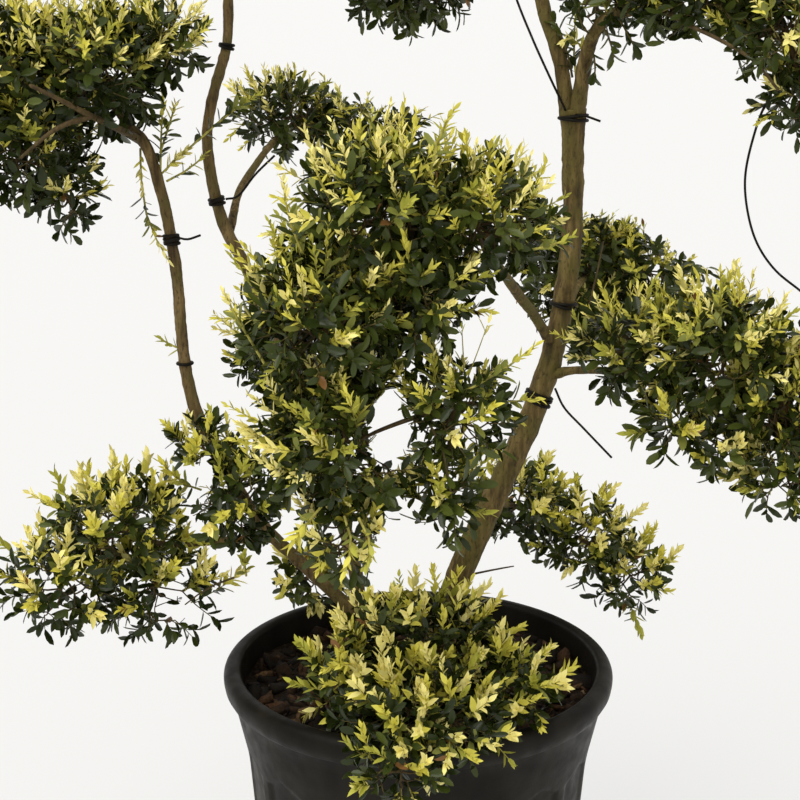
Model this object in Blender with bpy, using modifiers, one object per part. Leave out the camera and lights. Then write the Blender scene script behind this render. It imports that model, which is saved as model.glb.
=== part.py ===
"""Cloud-pruned Japanese holly, three stems with clipped clouds of small leaves, in a black nursery pot.

Metres, +Z up, +Y away from the front. The origin is the middle of the pot's flat underside.
Every limb is a tapering tube through a few named points. Every cloud of leaves fills a few lobes
(ellipsoids): leaders join the lobes' middles, twigs fan out of the leaders, and leaves run from
the twigs to the lobes' surfaces.
"""

import math

import bmesh
import bpy
import numpy as np
from mathutils import Matrix, Quaternion, Vector

GAP = 0.0003  # between pieces that touch in the real plant

# Pot
POT_HEIGHT = 0.371
POT_WALL = 0.004
RIM_RADIUS = 0.219
RIM_BAND = 0.029
LIP_RADIUS = 0.200
COLLAR_RADIUS = 0.2095
COLLAR_FOOT = 0.270  # height down to which the collar tapers in to the fluted body
BODY_RADIUS = 0.193
FOOT_RADIUS = 0.169
POT_STEPS = 48
FLUTES = 16
FLUTE_DEPTH = 0.0030
FLUTE_TURN = math.radians(7.5)  # of the first rib between two flutes, from +X
SOIL_TOP = 0.346

# Limbs
RING_SPACING = 0.040
GROUND = SOIL_TOP + GAP
TRUNK_FLARE = 0.0055
STEM_FLARE = 0.0030
FLARE_HEIGHT = 0.028
FORK_SWELL = 0.0040
FORK_HEIGHT = 0.030

# Foliage: a lobe's depth is 0 in its middle and 1 on its surface
CORE_DEPTH = 0.60
SUNK_DEPTH = 0.38  # where a leaf that grows out of the core has its root
TWIG_DEPTH = 0.84
LEAF_DEPTH = 0.985
BURIED_TWIG_DEPTH = 0.75  # in another lobe of the cloud: what ends deeper than this is left out
BURIED_LEAF_DEPTH = 0.84
OTHER_CLOUD_DEPTH = 1.03
TWIGS_PER_M2 = 14.0
LEAVES_PER_M2 = 93.0
FEWEST_TWIGS = 2
TWIG_LEAVES = 2
TWIG_LEAF_START, TWIG_LEAF_STEP = 0.72, 0.09  # shares of the twig's length
TWIG_FOOT, TWIG_TIP = 0.0036, 0.0020
STEM_SHARE, LEADER_SHARE, LEADER_TAPER = 0.98, 0.70, 0.42  # of the bough's tip radius
LEAF_SLANT = math.radians(32)  # from the lobe's radius, at the root and at the tip
LEAF_SPREAD = math.radians(34)  # between a twig and the leaves round its tip
LEAF_WIDTH = 0.54  # shares of the leaf's length
LEAF_THICKNESS = 0.06
ROOT_SINK = 0.0010
SINK_VARIES = 0.31
CLEAR = 0.0020  # room kept to limbs, pot, soil and other clouds
LOBE_TURN, CLOUD_TURN = 2.4, 0.9  # seeds: each lobe's pattern is turned on from the last one's
GOLDEN_ANGLE = math.pi * (3 - math.sqrt(5))

# name: (the limb it springs from, points from foot to tip, radius above the foot, radius at the tip)
LIMBS = {
    "trunk": (
        None,
        [(0.008, 0, 0.300), (0.036, 0, 0.440), (0.074, 0, 0.542), (0.113, 0, 0.630), (0.143, 0, 0.722),
         (0.158, 0, 0.810), (0.161, 0, 0.885), (0.159, 0, 0.985)],
        0.0160, 0.0100,
    ),
    "stem_middle": (
        None,
        [(-0.046, 0, 0.300), (-0.064, 0, 0.420), (-0.076, 0.008, 0.500), (-0.120, 0.030, 0.630),
         (-0.180, 0.050, 0.790), (-0.214, 0.050, 0.865), (-0.227, 0.050, 0.945), (-0.218, 0.050, 1.000),
         (-0.203, 0.050, 1.050), (-0.201, 0.050, 1.110), (-0.203, 0.050, 1.185)],
        0.0085, 0.0052,
    ),
    "stem_left": (
        "stem_middle",
        [(-0.064, 0, 0.420), (-0.132, -0.002, 0.489), (-0.168, -0.004, 0.527), (-0.205, -0.004, 0.585),
         (-0.240, 0, 0.655), (-0.253, 0, 0.721), (-0.257, 0, 0.800), (-0.266, 0, 0.875),
         (-0.282, -0.004, 0.942), (-0.300, -0.010, 0.968)],
        0.0074, 0.0058,
    ),
    "bough_apex": (
        "trunk",
        [(0.157, 0, 0.960), (0.144, 0.002, 1.035), (0.129, 0.010, 1.080), (0.117, 0.020, 1.130),
         (0.106, 0.018, 1.190), (0.100, 0.010, 1.250)],
        0.0082, 0.0062,
    ),
    "bough_top_right": (
        "trunk",
        [(0.161, 0, 0.965), (0.168, -0.020, 1.035), (0.175, -0.040, 1.064), (0.190, -0.058, 1.081),
         (0.214, -0.078, 1.088)],
        0.0080, 0.0062,
    ),
    "bough_top_back": (
        "bough_apex",
        [(0.114, 0.020, 1.150), (0.085, 0.075, 1.176), (0.058, 0.140, 1.178), (0.042, 0.195, 1.165)],
        0.0050, 0.0040,
    ),
    "bough_front_centre": (
        "trunk",
        [(0.144, 0, 0.733), (0.121, -0.035, 0.773), (0.098, -0.090, 0.808), (0.080, -0.145, 0.838),
         (0.068, -0.180, 0.855)],
        0.0056, 0.0046,
    ),
    "bough_right_mid": (
        "trunk",
        [(0.137, 0, 0.700), (0.165, -0.022, 0.712), (0.186, -0.048, 0.718), (0.200, -0.070, 0.722)],
        0.0046, 0.0038,
    ),
    "bough_right_back": (
        "trunk",
        [(0.150, 0, 0.752), (0.165, 0.050, 0.768), (0.178, 0.098, 0.778), (0.190, 0.140, 0.780)],
        0.0048, 0.0040,
    ),
    "bough_lower_right_back": (
        "trunk",
        [(0.074, 0, 0.545), (0.085, 0.060, 0.538), (0.098, 0.115, 0.520), (0.108, 0.160, 0.502)],
        0.0052, 0.0042,
    ),
    "bough_pot_front": (
        "trunk",
        [(0.018, 0, 0.372), (0.016, -0.030, 0.384), (0.010, -0.056, 0.398)],
        0.0064, 0.0050,
    ),
    "bough_behind_left": (
        "stem_middle",
        [(-0.206, 0.050, 0.845), (-0.200, 0.105, 0.885), (-0.182, 0.160, 0.915), (-0.168, 0.200, 0.932)],
        0.0046, 0.0038,
    ),
    "bough_back_middle": (
        "stem_middle",
        [(-0.112, 0.028, 0.608), (-0.122, 0.070, 0.632), (-0.130, 0.110, 0.652)],
        0.0046, 0.0038,
    ),
    "bough_lower_left": (
        "stem_left",
        [(-0.158, -0.004, 0.515), (-0.195, -0.018, 0.520), (-0.228, -0.030, 0.522), (-0.252, -0.037, 0.522)],
        0.0048, 0.0040,
    ),
    "bough_left_cluster": (
        "stem_left",
        [(-0.198, -0.004, 0.572), (-0.199, -0.020, 0.577)],
        0.0034, 0.0030,
    ),
    "bough_low_back": (
        "stem_middle",
        [(-0.060, 0, 0.392), (-0.078, 0.040, 0.408), (-0.096, 0.072, 0.416), (-0.106, 0.095, 0.419)],
        0.0036, 0.0030,
    ),
}

# name: (the limb whose tip it grows on, lobes as (middle, half-sizes))
CLOUDS = {
    "foliage_front_centre": (
        "bough_front_centre",
        [((0.049, -0.260, 0.902), (0.077, 0.080, 0.061)), ((-0.034, -0.280, 0.916), (0.086, 0.085, 0.067)),
         ((-0.010, -0.280, 0.838), (0.064, 0.085, 0.061)), ((-0.087, -0.290, 0.813), (0.082, 0.090, 0.083)),
         ((0.029, -0.300, 0.742), (0.059, 0.065, 0.052)), ((-0.070, -0.300, 0.705), (0.083, 0.085, 0.080)),
         ((0.018, -0.300, 0.658), (0.034, 0.040, 0.045)), ((-0.070, -0.300, 0.624), (0.042, 0.050, 0.049))],
    ),
    "foliage_top_left": (
        "stem_left",
        [((-0.330, -0.040, 1.022), (0.088, 0.100, 0.070)), ((-0.410, -0.050, 1.018), (0.082, 0.100, 0.070)),
         ((-0.395, -0.060, 0.949), (0.066, 0.080, 0.066)), ((-0.256, -0.040, 1.051), (0.046, 0.050, 0.039)),
         ((-0.357, -0.060, 0.898), (0.026, 0.035, 0.040)), ((-0.470, -0.050, 0.975), (0.060, 0.075, 0.062))],
    ),
    "foliage_left_crown": (
        "stem_middle",
        [((-0.212, 0.050, 1.245), (0.095, 0.095, 0.068)), ((-0.145, 0.090, 1.225), (0.062, 0.070, 0.050))],
    ),
    "foliage_behind_left": (
        "bough_behind_left",
        [((-0.158, 0.260, 0.955), (0.069, 0.070, 0.047)), ((-0.066, 0.280, 0.937), (0.085, 0.075, 0.050))],
    ),
    "foliage_top_back": (
        "bough_top_back",
        [((-0.011, 0.270, 1.132), (0.092, 0.100, 0.093))],
    ),
    "foliage_apex": (
        "bough_apex",
        [((0.080, 0.000, 1.330), (0.115, 0.110, 0.088)), ((0.165, 0.030, 1.300), (0.070, 0.080, 0.058)),
         ((-0.002, -0.030, 1.290), (0.066, 0.075, 0.054))],
    ),
    "foliage_top_right": (
        "bough_top_right",
        [((0.268, -0.120, 1.106), (0.081, 0.090, 0.060)), ((0.338, -0.150, 1.068), (0.065, 0.085, 0.060)),
         ((0.205, -0.110, 1.122), (0.043, 0.050, 0.034)), ((0.361, -0.150, 1.006), (0.038, 0.060, 0.043)),
         ((0.404, -0.140, 1.031), (0.047, 0.060, 0.059))],
    ),
    "foliage_right_mid": (
        "bough_right_mid",
        [((0.218, -0.130, 0.756), (0.073, 0.075, 0.049)), ((0.291, -0.160, 0.763), (0.076, 0.085, 0.062)),
         ((0.348, -0.160, 0.705), (0.061, 0.080, 0.063)), ((0.357, -0.160, 0.643), (0.042, 0.050, 0.053)),
         ((0.412, -0.150, 0.741), (0.055, 0.070, 0.061))],
    ),
    "foliage_right_back": (
        "bough_right_back",
        [((0.190, 0.210, 0.785), (0.082, 0.080, 0.082)), ((0.271, 0.200, 0.779), (0.078, 0.080, 0.059)),
         ((0.222, 0.220, 0.717), (0.073, 0.070, 0.058))],
    ),
    "foliage_lower_right_back": (
        "bough_lower_right_back",
        [((0.129, 0.220, 0.481), (0.070, 0.065, 0.062)), ((0.212, 0.250, 0.424), (0.066, 0.065, 0.061)),
         ((0.276, 0.260, 0.373), (0.057, 0.055, 0.056))],
    ),
    "foliage_back_middle": (
        "bough_back_middle",
        [((-0.141, 0.200, 0.684), (0.087, 0.080, 0.082)), ((-0.069, 0.240, 0.737), (0.085, 0.075, 0.076))],
    ),
    "foliage_lower_left": (
        "bough_lower_left",
        [((-0.321, -0.050, 0.542), (0.084, 0.080, 0.060)), ((-0.385, -0.060, 0.480), (0.069, 0.070, 0.062)),
         ((-0.288, -0.040, 0.464), (0.074, 0.075, 0.059))],
    ),
    "foliage_left_cluster": (
        "bough_left_cluster",
        [((-0.195, -0.064, 0.579), (0.053, 0.052, 0.059)), ((-0.226, -0.050, 0.631), (0.040, 0.040, 0.033))],
    ),
    "foliage_pot_front": (
        "bough_pot_front",
        [((0.001, -0.120, 0.428), (0.097, 0.075, 0.063)), ((0.005, -0.205, 0.395), (0.099, 0.070, 0.058)),
         ((0.096, -0.140, 0.397), (0.052, 0.060, 0.050)), ((-0.078, -0.130, 0.393), (0.044, 0.055, 0.052)),
         ((-0.020, -0.262, 0.368), (0.053, 0.034, 0.034))],
    ),
    "foliage_low_back": (
        "bough_low_back",
        [((-0.129, 0.130, 0.422), (0.051, 0.042, 0.034))],
    ),
}


def clear_scene():
    for obj in list(bpy.data.objects):
        bpy.data.objects.remove(obj, do_unlink=True)


def make_collection(name):
    collection = bpy.data.collections.new(name)
    bpy.context.scene.collection.children.link(collection)
    return collection


def make_material(name, colour, roughness):
    material = bpy.data.materials.new(name)
    material.use_nodes = True
    shader = material.node_tree.nodes["Principled BSDF"]
    shader.inputs["Base Color"].default_value = (*colour, 1)
    shader.inputs["Roughness"].default_value = roughness
    shader.inputs["Metallic"].default_value = 0
    return material


def add_object(name, mesh, collection, material=None):
    obj = bpy.data.objects.new(name, mesh)
    collection.objects.link(obj)
    if material:
        mesh.materials.clear()
        mesh.materials.append(material)
    return obj


def evaluated_mesh(obj):
    """The object's mesh with its modifiers applied."""
    graph = bpy.context.evaluated_depsgraph_get()
    return bpy.data.meshes.new_from_object(obj.evaluated_get(graph))


def replace_by_result(obj):
    """Bakes the object's modifiers into a new object of the same name."""
    mesh = evaluated_mesh(obj)
    name, collection = obj.name, obj.users_collection[0]
    bpy.data.objects.remove(obj, do_unlink=True)
    return add_object(name, mesh, collection)


# ---------------------------------------------------------------- pot and soil


def pot_profile():
    """(radius, height) down the outer side from the rim's crest, across the foot and up the inner side."""
    lip = LIP_RADIUS - 0.0040
    return [
        (0.2085, POT_HEIGHT), (0.2155, POT_HEIGHT - 0.0040), (RIM_RADIUS, POT_HEIGHT - 0.0130),
        (RIM_RADIUS - 0.0010, POT_HEIGHT - 0.0230), (0.2145, POT_HEIGHT - RIM_BAND),
        (COLLAR_RADIUS, POT_HEIGHT - RIM_BAND - 0.0020), (BODY_RADIUS, COLLAR_FOOT),
        (BODY_RADIUS - 0.0025, COLLAR_FOOT - 0.0280),
        (FOOT_RADIUS + 0.0020, 0.0140), (FOOT_RADIUS - 0.0020, 0.0),
        (0.0, 0.0), (0.0, POT_WALL), (FOOT_RADIUS - POT_WALL - 0.0030, POT_WALL),
        (BODY_RADIUS - POT_WALL - 0.0040, COLLAR_FOOT - 0.0040), (lip, POT_HEIGHT - RIM_BAND),
        (LIP_RADIUS, POT_HEIGHT - 0.0060),
    ]


def turn_profile(name, profile, collection):
    """A closed profile turned about Z."""
    mesh = bpy.data.meshes.new(name)
    shape = bmesh.new()
    corners = [shape.verts.new((radius, 0, height)) for radius, height in profile]
    for first, second in zip(corners, corners[1:]):
        shape.edges.new((first, second))
    if profile[0][0] > 0:
        shape.edges.new((corners[-1], corners[0]))
    shape.to_mesh(mesh)
    shape.free()
    obj = add_object(name, mesh, collection)
    screw = obj.modifiers.new("turn", "SCREW")
    screw.axis = "Z"
    screw.steps = screw.render_steps = POT_STEPS
    screw.use_merge_vertices = True
    screw.merge_threshold = 0.00005
    return replace_by_result(obj)


def face_outwards(mesh):
    shape = bmesh.new()
    shape.from_mesh(mesh)
    bmesh.ops.remove_doubles(shape, verts=shape.verts, dist=0.000002)
    bmesh.ops.triangulate(shape, faces=shape.faces)
    bmesh.ops.recalc_face_normals(shape, faces=shape.faces)
    shape.to_mesh(mesh)
    shape.free()


def shade_round(mesh, degrees=40):
    mesh.shade_smooth()
    mesh.set_sharp_from_angle(angle=math.radians(degrees))


def flute_depth(height):
    """Flutes fade in under the collar and out above the foot."""
    rise = (height - 0.012) / 0.020
    fall = (COLLAR_FOOT - height) / 0.024
    return FLUTE_DEPTH * max(0.0, min(1.0, rise, fall))


def make_pot(collection, material):
    pot = turn_profile("pot", pot_profile(), collection)
    for vertex in pot.data.vertices:
        x, y, z = vertex.co
        radius = math.hypot(x, y)
        outer = FOOT_RADIUS + (BODY_RADIUS - FOOT_RADIUS) * z / COLLAR_FOOT - POT_WALL / 2
        if radius > outer:
            dip = flute_depth(z) * (0.5 - 0.5 * math.cos(FLUTES * (math.atan2(y, x) - FLUTE_TURN)))
            vertex.co.x -= x / radius * dip
            vertex.co.y -= y / radius * dip
    face_outwards(pot.data)
    pot.data.materials.append(material)
    shade_round(pot.data)


def wall_inside(height):
    """The pot's inner radius at a height."""
    inner = sorted((z, r) for r, z in pot_profile()[-4:])
    return float(np.interp(height, [z for z, _ in inner], [r for _, r in inner]))


def make_soil(collection, material):
    floor = POT_WALL + GAP
    middle = COLLAR_FOOT - 0.0040
    room = 2 * GAP
    profile = [
        (0.0, SOIL_TOP), (wall_inside(SOIL_TOP) - room, SOIL_TOP),
        (wall_inside(middle) - room, middle), (wall_inside(floor) - room, floor), (0.0, floor),
    ]
    soil = turn_profile("soil", profile, collection)
    face_outwards(soil.data)
    soil.data.materials.append(material)


def in_pot_or_soil(point):
    """Whether a point lies in the pot's wall or the soil, or within CLEAR of them."""
    x, y, z = point
    radius = math.hypot(x, y)
    if z > POT_HEIGHT + CLEAR:
        return False
    outer = RIM_RADIUS if z > POT_HEIGHT - RIM_BAND - CLEAR else COLLAR_RADIUS
    if z < SOIL_TOP + CLEAR:
        return radius < outer + CLEAR
    return LIP_RADIUS - 0.006 - CLEAR < radius < outer + CLEAR


# ---------------------------------------------------------------- limbs


def smooth_path(points, spacing):
    """Points about `spacing` apart on a smooth curve through the given ones."""
    points = [Vector(point) for point in points]
    ends = [points[0] * 2 - points[1], *points, points[-1] * 2 - points[-2]]
    path = []
    for a, b, c, d in zip(ends, ends[1:], ends[2:], ends[3:]):
        count = max(1, round((c - b).length / spacing))
        for step in range(count):
            t = step / count
            square, cube = 2 * a - 5 * b + 4 * c - d, 3 * b - 3 * c + d - a
            path.append(0.5 * (2 * b + (c - a) * t + square * t**2 + cube * t**3))
    return [*path, points[-1]]


def along(path):
    """How far along the path each point is, from 0 to 1."""
    steps = [0.0]
    for first, second in zip(path, path[1:]):
        steps.append(steps[-1] + (second - first).length)
    return [step / steps[-1] for step in steps]


def limb_radii(name, path, foot_radius, tip_radius):
    """Even taper, with a root flare on what stands in the soil and a swelling under the trunk's fork."""
    radii = []
    for point, share in zip(path, along(path)):
        radius = foot_radius + (tip_radius - foot_radius) * share
        if name == "trunk":
            radius += TRUNK_FLARE * math.exp(-max(0, point.z - GROUND) / FLARE_HEIGHT)
            radius += FORK_SWELL * math.exp(-(path[-1].z - point.z) / FORK_HEIGHT)
        if name == "stem_middle":
            radius += STEM_FLARE * math.exp(-max(0, point.z - GROUND) / FLARE_HEIGHT)
        radii.append(radius)
    return radii


def tube(name, path, radii, half_sides, collection):
    """A closed mesh tube with 4 + 2 * half_sides sides, made from a bevelled curve."""
    curve = bpy.data.curves.new(name, "CURVE")
    curve.dimensions = "3D"
    curve.bevel_depth = 1.0
    curve.bevel_resolution = half_sides
    curve.use_fill_caps = True
    spline = curve.splines.new("POLY")
    spline.points.add(len(path) - 1)
    for corner, place, radius in zip(spline.points, path, radii):
        corner.co = (*place, 1)
        corner.radius = radius
    guide = bpy.data.objects.new(name + "_curve", curve)
    collection.objects.link(guide)
    bpy.context.view_layer.update()
    mesh = evaluated_mesh(guide)
    bpy.data.objects.remove(guide, do_unlink=True)
    face_outwards(mesh)
    return add_object(name, mesh, collection)


def cut_away(obj, cutter):
    """Takes the cutter's space out of the object, and removes the cutter."""
    cut = obj.modifiers.new("cut", "BOOLEAN")
    cut.operation = "DIFFERENCE"
    cut.solver = "EXACT"
    cut.object = cutter
    result = replace_by_result(obj)
    bpy.data.objects.remove(cutter, do_unlink=True)
    return result


def cut_flat_at_ground(mesh):
    shape = bmesh.new()
    shape.from_mesh(mesh)
    parts = shape.verts[:] + shape.edges[:] + shape.faces[:]
    cut = bmesh.ops.bisect_plane(
        shape, geom=parts, plane_co=(0, 0, GROUND), plane_no=(0, 0, 1), clear_inner=True
    )
    rim = [piece for piece in cut["geom_cut"] if isinstance(piece, bmesh.types.BMEdge)]
    bmesh.ops.edgeloop_fill(shape, edges=rim)
    shape.to_mesh(mesh)
    shape.free()


def limb_sides(name):
    return {"trunk": 3, "stem_middle": 2, "stem_left": 2}.get(name, 1)


def make_limb(name, collection, cutters, material):
    parent, points, foot_radius, tip_radius = LIMBS[name]
    path = smooth_path(points, RING_SPACING)
    limb = tube(name, path, limb_radii(name, path, foot_radius, tip_radius), limb_sides(name), collection)
    blockers = [parent] if parent else []
    if name == "bough_top_right":
        blockers.append("bough_apex")
    for blocker in blockers:
        _, points, foot_radius, tip_radius = LIMBS[blocker]
        path = smooth_path(points, RING_SPACING)
        radii = [radius + GAP for radius in limb_radii(blocker, path, foot_radius, tip_radius)]
        last = path[-1] + (path[-1] - path[-2]).normalized() * GAP
        cutter = tube("cutter", [*path[:-1], last], radii, limb_sides(blocker), cutters)
        limb = cut_away(limb, cutter)
    if not parent:
        cut_flat_at_ground(limb.data)
    face_outwards(limb.data)
    limb.data.materials.clear()
    limb.data.materials.append(material)
    shade_round(limb.data, 50)


# ---------------------------------------------------------------- foliage


def spread_directions(count, turn):
    """Unit vectors spread evenly over a sphere by the golden angle."""
    for step in range(count):
        height = 1 - (2 * step + 1) / count
        flat = math.sqrt(1 - height * height)
        angle = step * GOLDEN_ANGLE + turn
        yield Vector((flat * math.cos(angle), flat * math.sin(angle), height))


def scaled(vector, sizes):
    return Vector(a * b for a, b in zip(vector, sizes))


def lobe_area(sizes):
    """Near enough the area of an ellipsoid."""
    a, b, c = (size**1.6 for size in sizes)
    return 4 * math.pi * ((a * b + a * c + b * c) / 3) ** (1 / 1.6)


def depth_in(point, lobe):
    """0 in the lobe's middle, 1 on its surface."""
    middle, sizes = lobe
    return math.sqrt(sum(((p - m) / s) ** 2 for p, m, s in zip(point, middle, sizes)))


def limb_spheres():
    """Middles and radii of balls strung along every limb."""
    middles, radii = [], []
    for name, (_, points, foot_radius, tip_radius) in LIMBS.items():
        path = smooth_path(points, 0.006)
        middles += [tuple(point) for point in path]
        radii += limb_radii(name, path, foot_radius, tip_radius)
    return np.array(middles), np.array(radii)


class Room:
    """The space that one cloud keeps to."""

    def __init__(self, name, limbs):
        self.own = CLOUDS[name][1]
        self.others = [lobe for other, (_, lobes) in CLOUDS.items() if other != name for lobe in lobes]
        self.middles, self.radii = limbs

    def holds(self, points, half_width):
        for point in points:
            if min(depth_in(point, lobe) for lobe in self.own) > 1.0:
                return False
            if min(depth_in(point, lobe) for lobe in self.others) < OTHER_CLOUD_DEPTH:
                return False
            if in_pot_or_soil(point):
                return False
            away = np.linalg.norm(self.middles - np.array(point), axis=1) - self.radii
            if away.min() < half_width + CLEAR:
                return False
        return True


def between(first, second, count):
    return [first.lerp(second, step / (count - 1)) for step in range(count)]


def grow_leaders(foot, heading, lobes):
    """Tapering paths that join the stem's foot to each lobe's middle, each from the nearest grown point."""
    grown = [foot]
    leaders = []
    for number, (middle, _) in enumerate(lobes):
        hub = Vector(middle)
        start = min(grown, key=lambda point: (point - hub).length)
        reach = (hub - start).length
        if number == 0:
            bend = start + heading * reach * 0.45
        else:
            bend = start.lerp(hub, 0.5) + Vector((0, 0, reach * 0.10))
        leaders.append([start, start.lerp(bend, 0.55), bend.lerp(hub, 0.45), hub])
        grown = [*grown[number == 0:], bend.lerp(hub, 0.45), hub]
    return leaders


def twig_solid(foot, tip, collection):
    """A three-sided tapering twig."""
    line = tip - foot
    mesh = bpy.data.meshes.new("twig")
    shape = bmesh.new()
    place = Matrix.Translation(foot.lerp(tip, 0.5)) @ line.to_track_quat("Z", "Y").to_matrix().to_4x4()
    bmesh.ops.create_cone(
        shape, cap_ends=True, cap_tris=True, segments=3, radius1=TWIG_FOOT, radius2=TWIG_TIP,
        depth=line.length, matrix=place,
    )
    shape.to_mesh(mesh)
    shape.free()
    return add_object("twig", mesh, collection)


def leaf_solid(root, tip, outwards, collection):
    """One leaf as a flattened octahedron from its root to its tip, its blade facing outwards."""
    line = tip - root
    side = line.cross(outwards).normalized()
    normal = line.cross(side).normalized()
    length = line.length
    frame = Matrix((side, normal, line.normalized())).transposed().to_4x4()
    frame.translation = root.lerp(tip, 0.5)
    mesh = bpy.data.meshes.new("leaf")
    shape = bmesh.new()
    bmesh.ops.create_uvsphere(shape, u_segments=4, v_segments=2, radius=0.5)
    sizes = (length * LEAF_WIDTH, length * LEAF_THICKNESS, length)
    bmesh.ops.transform(shape, matrix=frame @ Matrix.Diagonal((*sizes, 1)), verts=shape.verts)
    shape.to_mesh(mesh)
    shape.free()
    return add_object("leaf", mesh, collection)


def core_solid(lobe, turn, collection):
    middle, sizes = lobe
    mesh = bpy.data.meshes.new("core")
    shape = bmesh.new()
    place = Matrix.Translation(middle) @ Matrix.Diagonal((*(CORE_DEPTH * size for size in sizes), 1))
    spin = Matrix.Rotation(turn, 4, "X") @ Matrix.Rotation(turn, 4, "Z")
    bmesh.ops.create_icosphere(shape, subdivisions=1, radius=1.0, matrix=place @ spin)
    shape.to_mesh(mesh)
    shape.free()
    return add_object("core", mesh, collection)


def largest_shell(mesh):
    """Keeps the outermost closed shell: scraps are dropped and sealed hollows filled."""
    shape = bmesh.new()
    shape.from_mesh(mesh)
    bmesh.ops.triangulate(shape, faces=shape.faces)
    left = set(shape.faces)
    shells = []
    while left:
        shell, border = set(), [left.pop()]
        while border:
            face = border.pop()
            shell.add(face)
            simple = [edge for edge in face.edges if len(edge.link_faces) == 2]
            near = {other for edge in simple for other in edge.link_faces} & left
            left -= near
            border += near
        shells.append(shell)
    keep = max(shells, key=len)
    scraps = [face for shell in shells if shell is not keep for face in shell]
    bmesh.ops.delete(shape, geom=scraps, context="FACES")
    shape.to_mesh(mesh)
    shape.free()


def tilted(way, angle, turn):
    """A unit vector turned off another one by an angle, towards the side that `turn` gives."""
    flat = way.orthogonal().normalized()
    flat.rotate(Quaternion(way, turn))
    return (way * math.cos(angle) + flat * math.sin(angle)).normalized()


def lobe_leaves(lobe, twigs, turn):
    """(root, tip, outwards) of each leaf: a few round each twig's tip, others slanting out of the core."""
    middle, sizes = Vector(lobe[0]), lobe[1]
    for order, (way, end) in enumerate(twigs):
        for step in range(TWIG_LEAVES):
            root = middle.lerp(end, TWIG_LEAF_START + TWIG_LEAF_STEP * step)
            aim = tilted(way, LEAF_SPREAD, turn + 2 * math.pi * step / TWIG_LEAVES + order)
            yield root, middle + scaled(aim, sizes) * LEAF_DEPTH, way
    for step, way in enumerate(spread_directions(round(lobe_area(sizes) * LEAVES_PER_M2), turn + 1)):
        side = turn + step * GOLDEN_ANGLE
        root = middle + scaled(tilted(way, -LEAF_SLANT, side), sizes) * SUNK_DEPTH
        yield root, middle + scaled(tilted(way, LEAF_SLANT, side), sizes) * LEAF_DEPTH, way


def fill_lobe(lobe, room, turn, pieces):
    """The core, twigs and leaves of one lobe, each skipped where the cloud's room doesn't hold it."""
    middle, sizes = Vector(lobe[0]), lobe[1]

    def buried(tip, depth):
        return any(depth_in(tip, other) < depth for other in room.own if other is not lobe)

    if room.holds([middle + scaled(way, sizes) * CORE_DEPTH for way in spread_directions(40, 0)], 0):
        core_solid(lobe, turn, pieces)
    twigs = []
    for way in spread_directions(max(FEWEST_TWIGS, round(lobe_area(sizes) * TWIGS_PER_M2)), turn):
        tip = middle + scaled(way, sizes) * TWIG_DEPTH
        outer = between(middle.lerp(tip, 0.5), tip, 4)
        if not buried(tip, BURIED_TWIG_DEPTH) and room.holds(outer, TWIG_TIP):
            twigs.append((way, tip))
            twig_solid(middle - way * TWIG_FOOT, tip, pieces)
    for step, (root, tip, outwards) in enumerate(lobe_leaves(lobe, twigs, turn)):
        sink = ROOT_SINK * (1 + SINK_VARIES * math.sin(7 * step + turn))
        root = root - (tip - root).normalized() * sink
        half_width = LEAF_WIDTH * (tip - root).length / 4
        if not buried(tip, BURIED_LEAF_DEPTH) and room.holds(between(root, tip, 5), half_width):
            leaf_solid(root, tip, outwards, pieces)


def make_cloud(name, number, limbs, collection, material):
    bough, lobes = CLOUDS[name]
    _, points, _, tip_radius = LIMBS[bough]
    limb = smooth_path(points, RING_SPACING)
    heading = (limb[-1] - limb[-2]).normalized()
    room = Room(name, limbs)
    pieces = make_collection(name + "_pieces")

    for order, leader in enumerate(grow_leaders(limb[-1] + heading * GAP, heading, lobes)):
        wide = tip_radius * (STEM_SHARE if order == 0 else LEADER_SHARE)
        radii = [wide * (1 - LEADER_TAPER * share) for share in along(leader)]
        tube("leader", leader, radii, 1 if order == 0 else 0, pieces)
    for order, lobe in enumerate(lobes):
        fill_lobe(lobe, room, LOBE_TURN * order + CLOUD_TURN * number, pieces)

    base = pieces.objects[0]
    pieces.objects.unlink(base)
    collection.objects.link(base)
    base.name = name
    join = base.modifiers.new("join", "BOOLEAN")
    join.operation = "UNION"
    join.solver = "MANIFOLD"
    join.operand_type = "COLLECTION"
    join.collection = pieces
    cloud = replace_by_result(base)
    for piece in list(pieces.objects):
        bpy.data.objects.remove(piece, do_unlink=True)
    bpy.data.collections.remove(pieces)
    largest_shell(cloud.data)
    cloud.data.materials.clear()
    cloud.data.materials.append(material)


clear_scene()
plant = make_collection("potted_japanese_holly")
spare = make_collection("cutters")
spare.hide_render = True

plastic = make_material("black pot plastic", (0.020, 0.021, 0.022), 0.55)
compost = make_material("bark compost", (0.050, 0.028, 0.018), 0.95)
bark = make_material("olive-brown bark", (0.150, 0.110, 0.065), 0.85)
leaves = make_material("holly leaf", (0.060, 0.130, 0.035), 0.45)

make_pot(plant, plastic)
make_soil(plant, compost)
for limb_name in LIMBS:
    make_limb(limb_name, plant, spare, bark)
balls = limb_spheres()
for order, cloud_name in enumerate(CLOUDS):
    make_cloud(cloud_name, order, balls, plant, leaves)
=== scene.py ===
import math

import bpy
import numpy as np
from mathutils import Matrix, Vector, kdtree, noise


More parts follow.
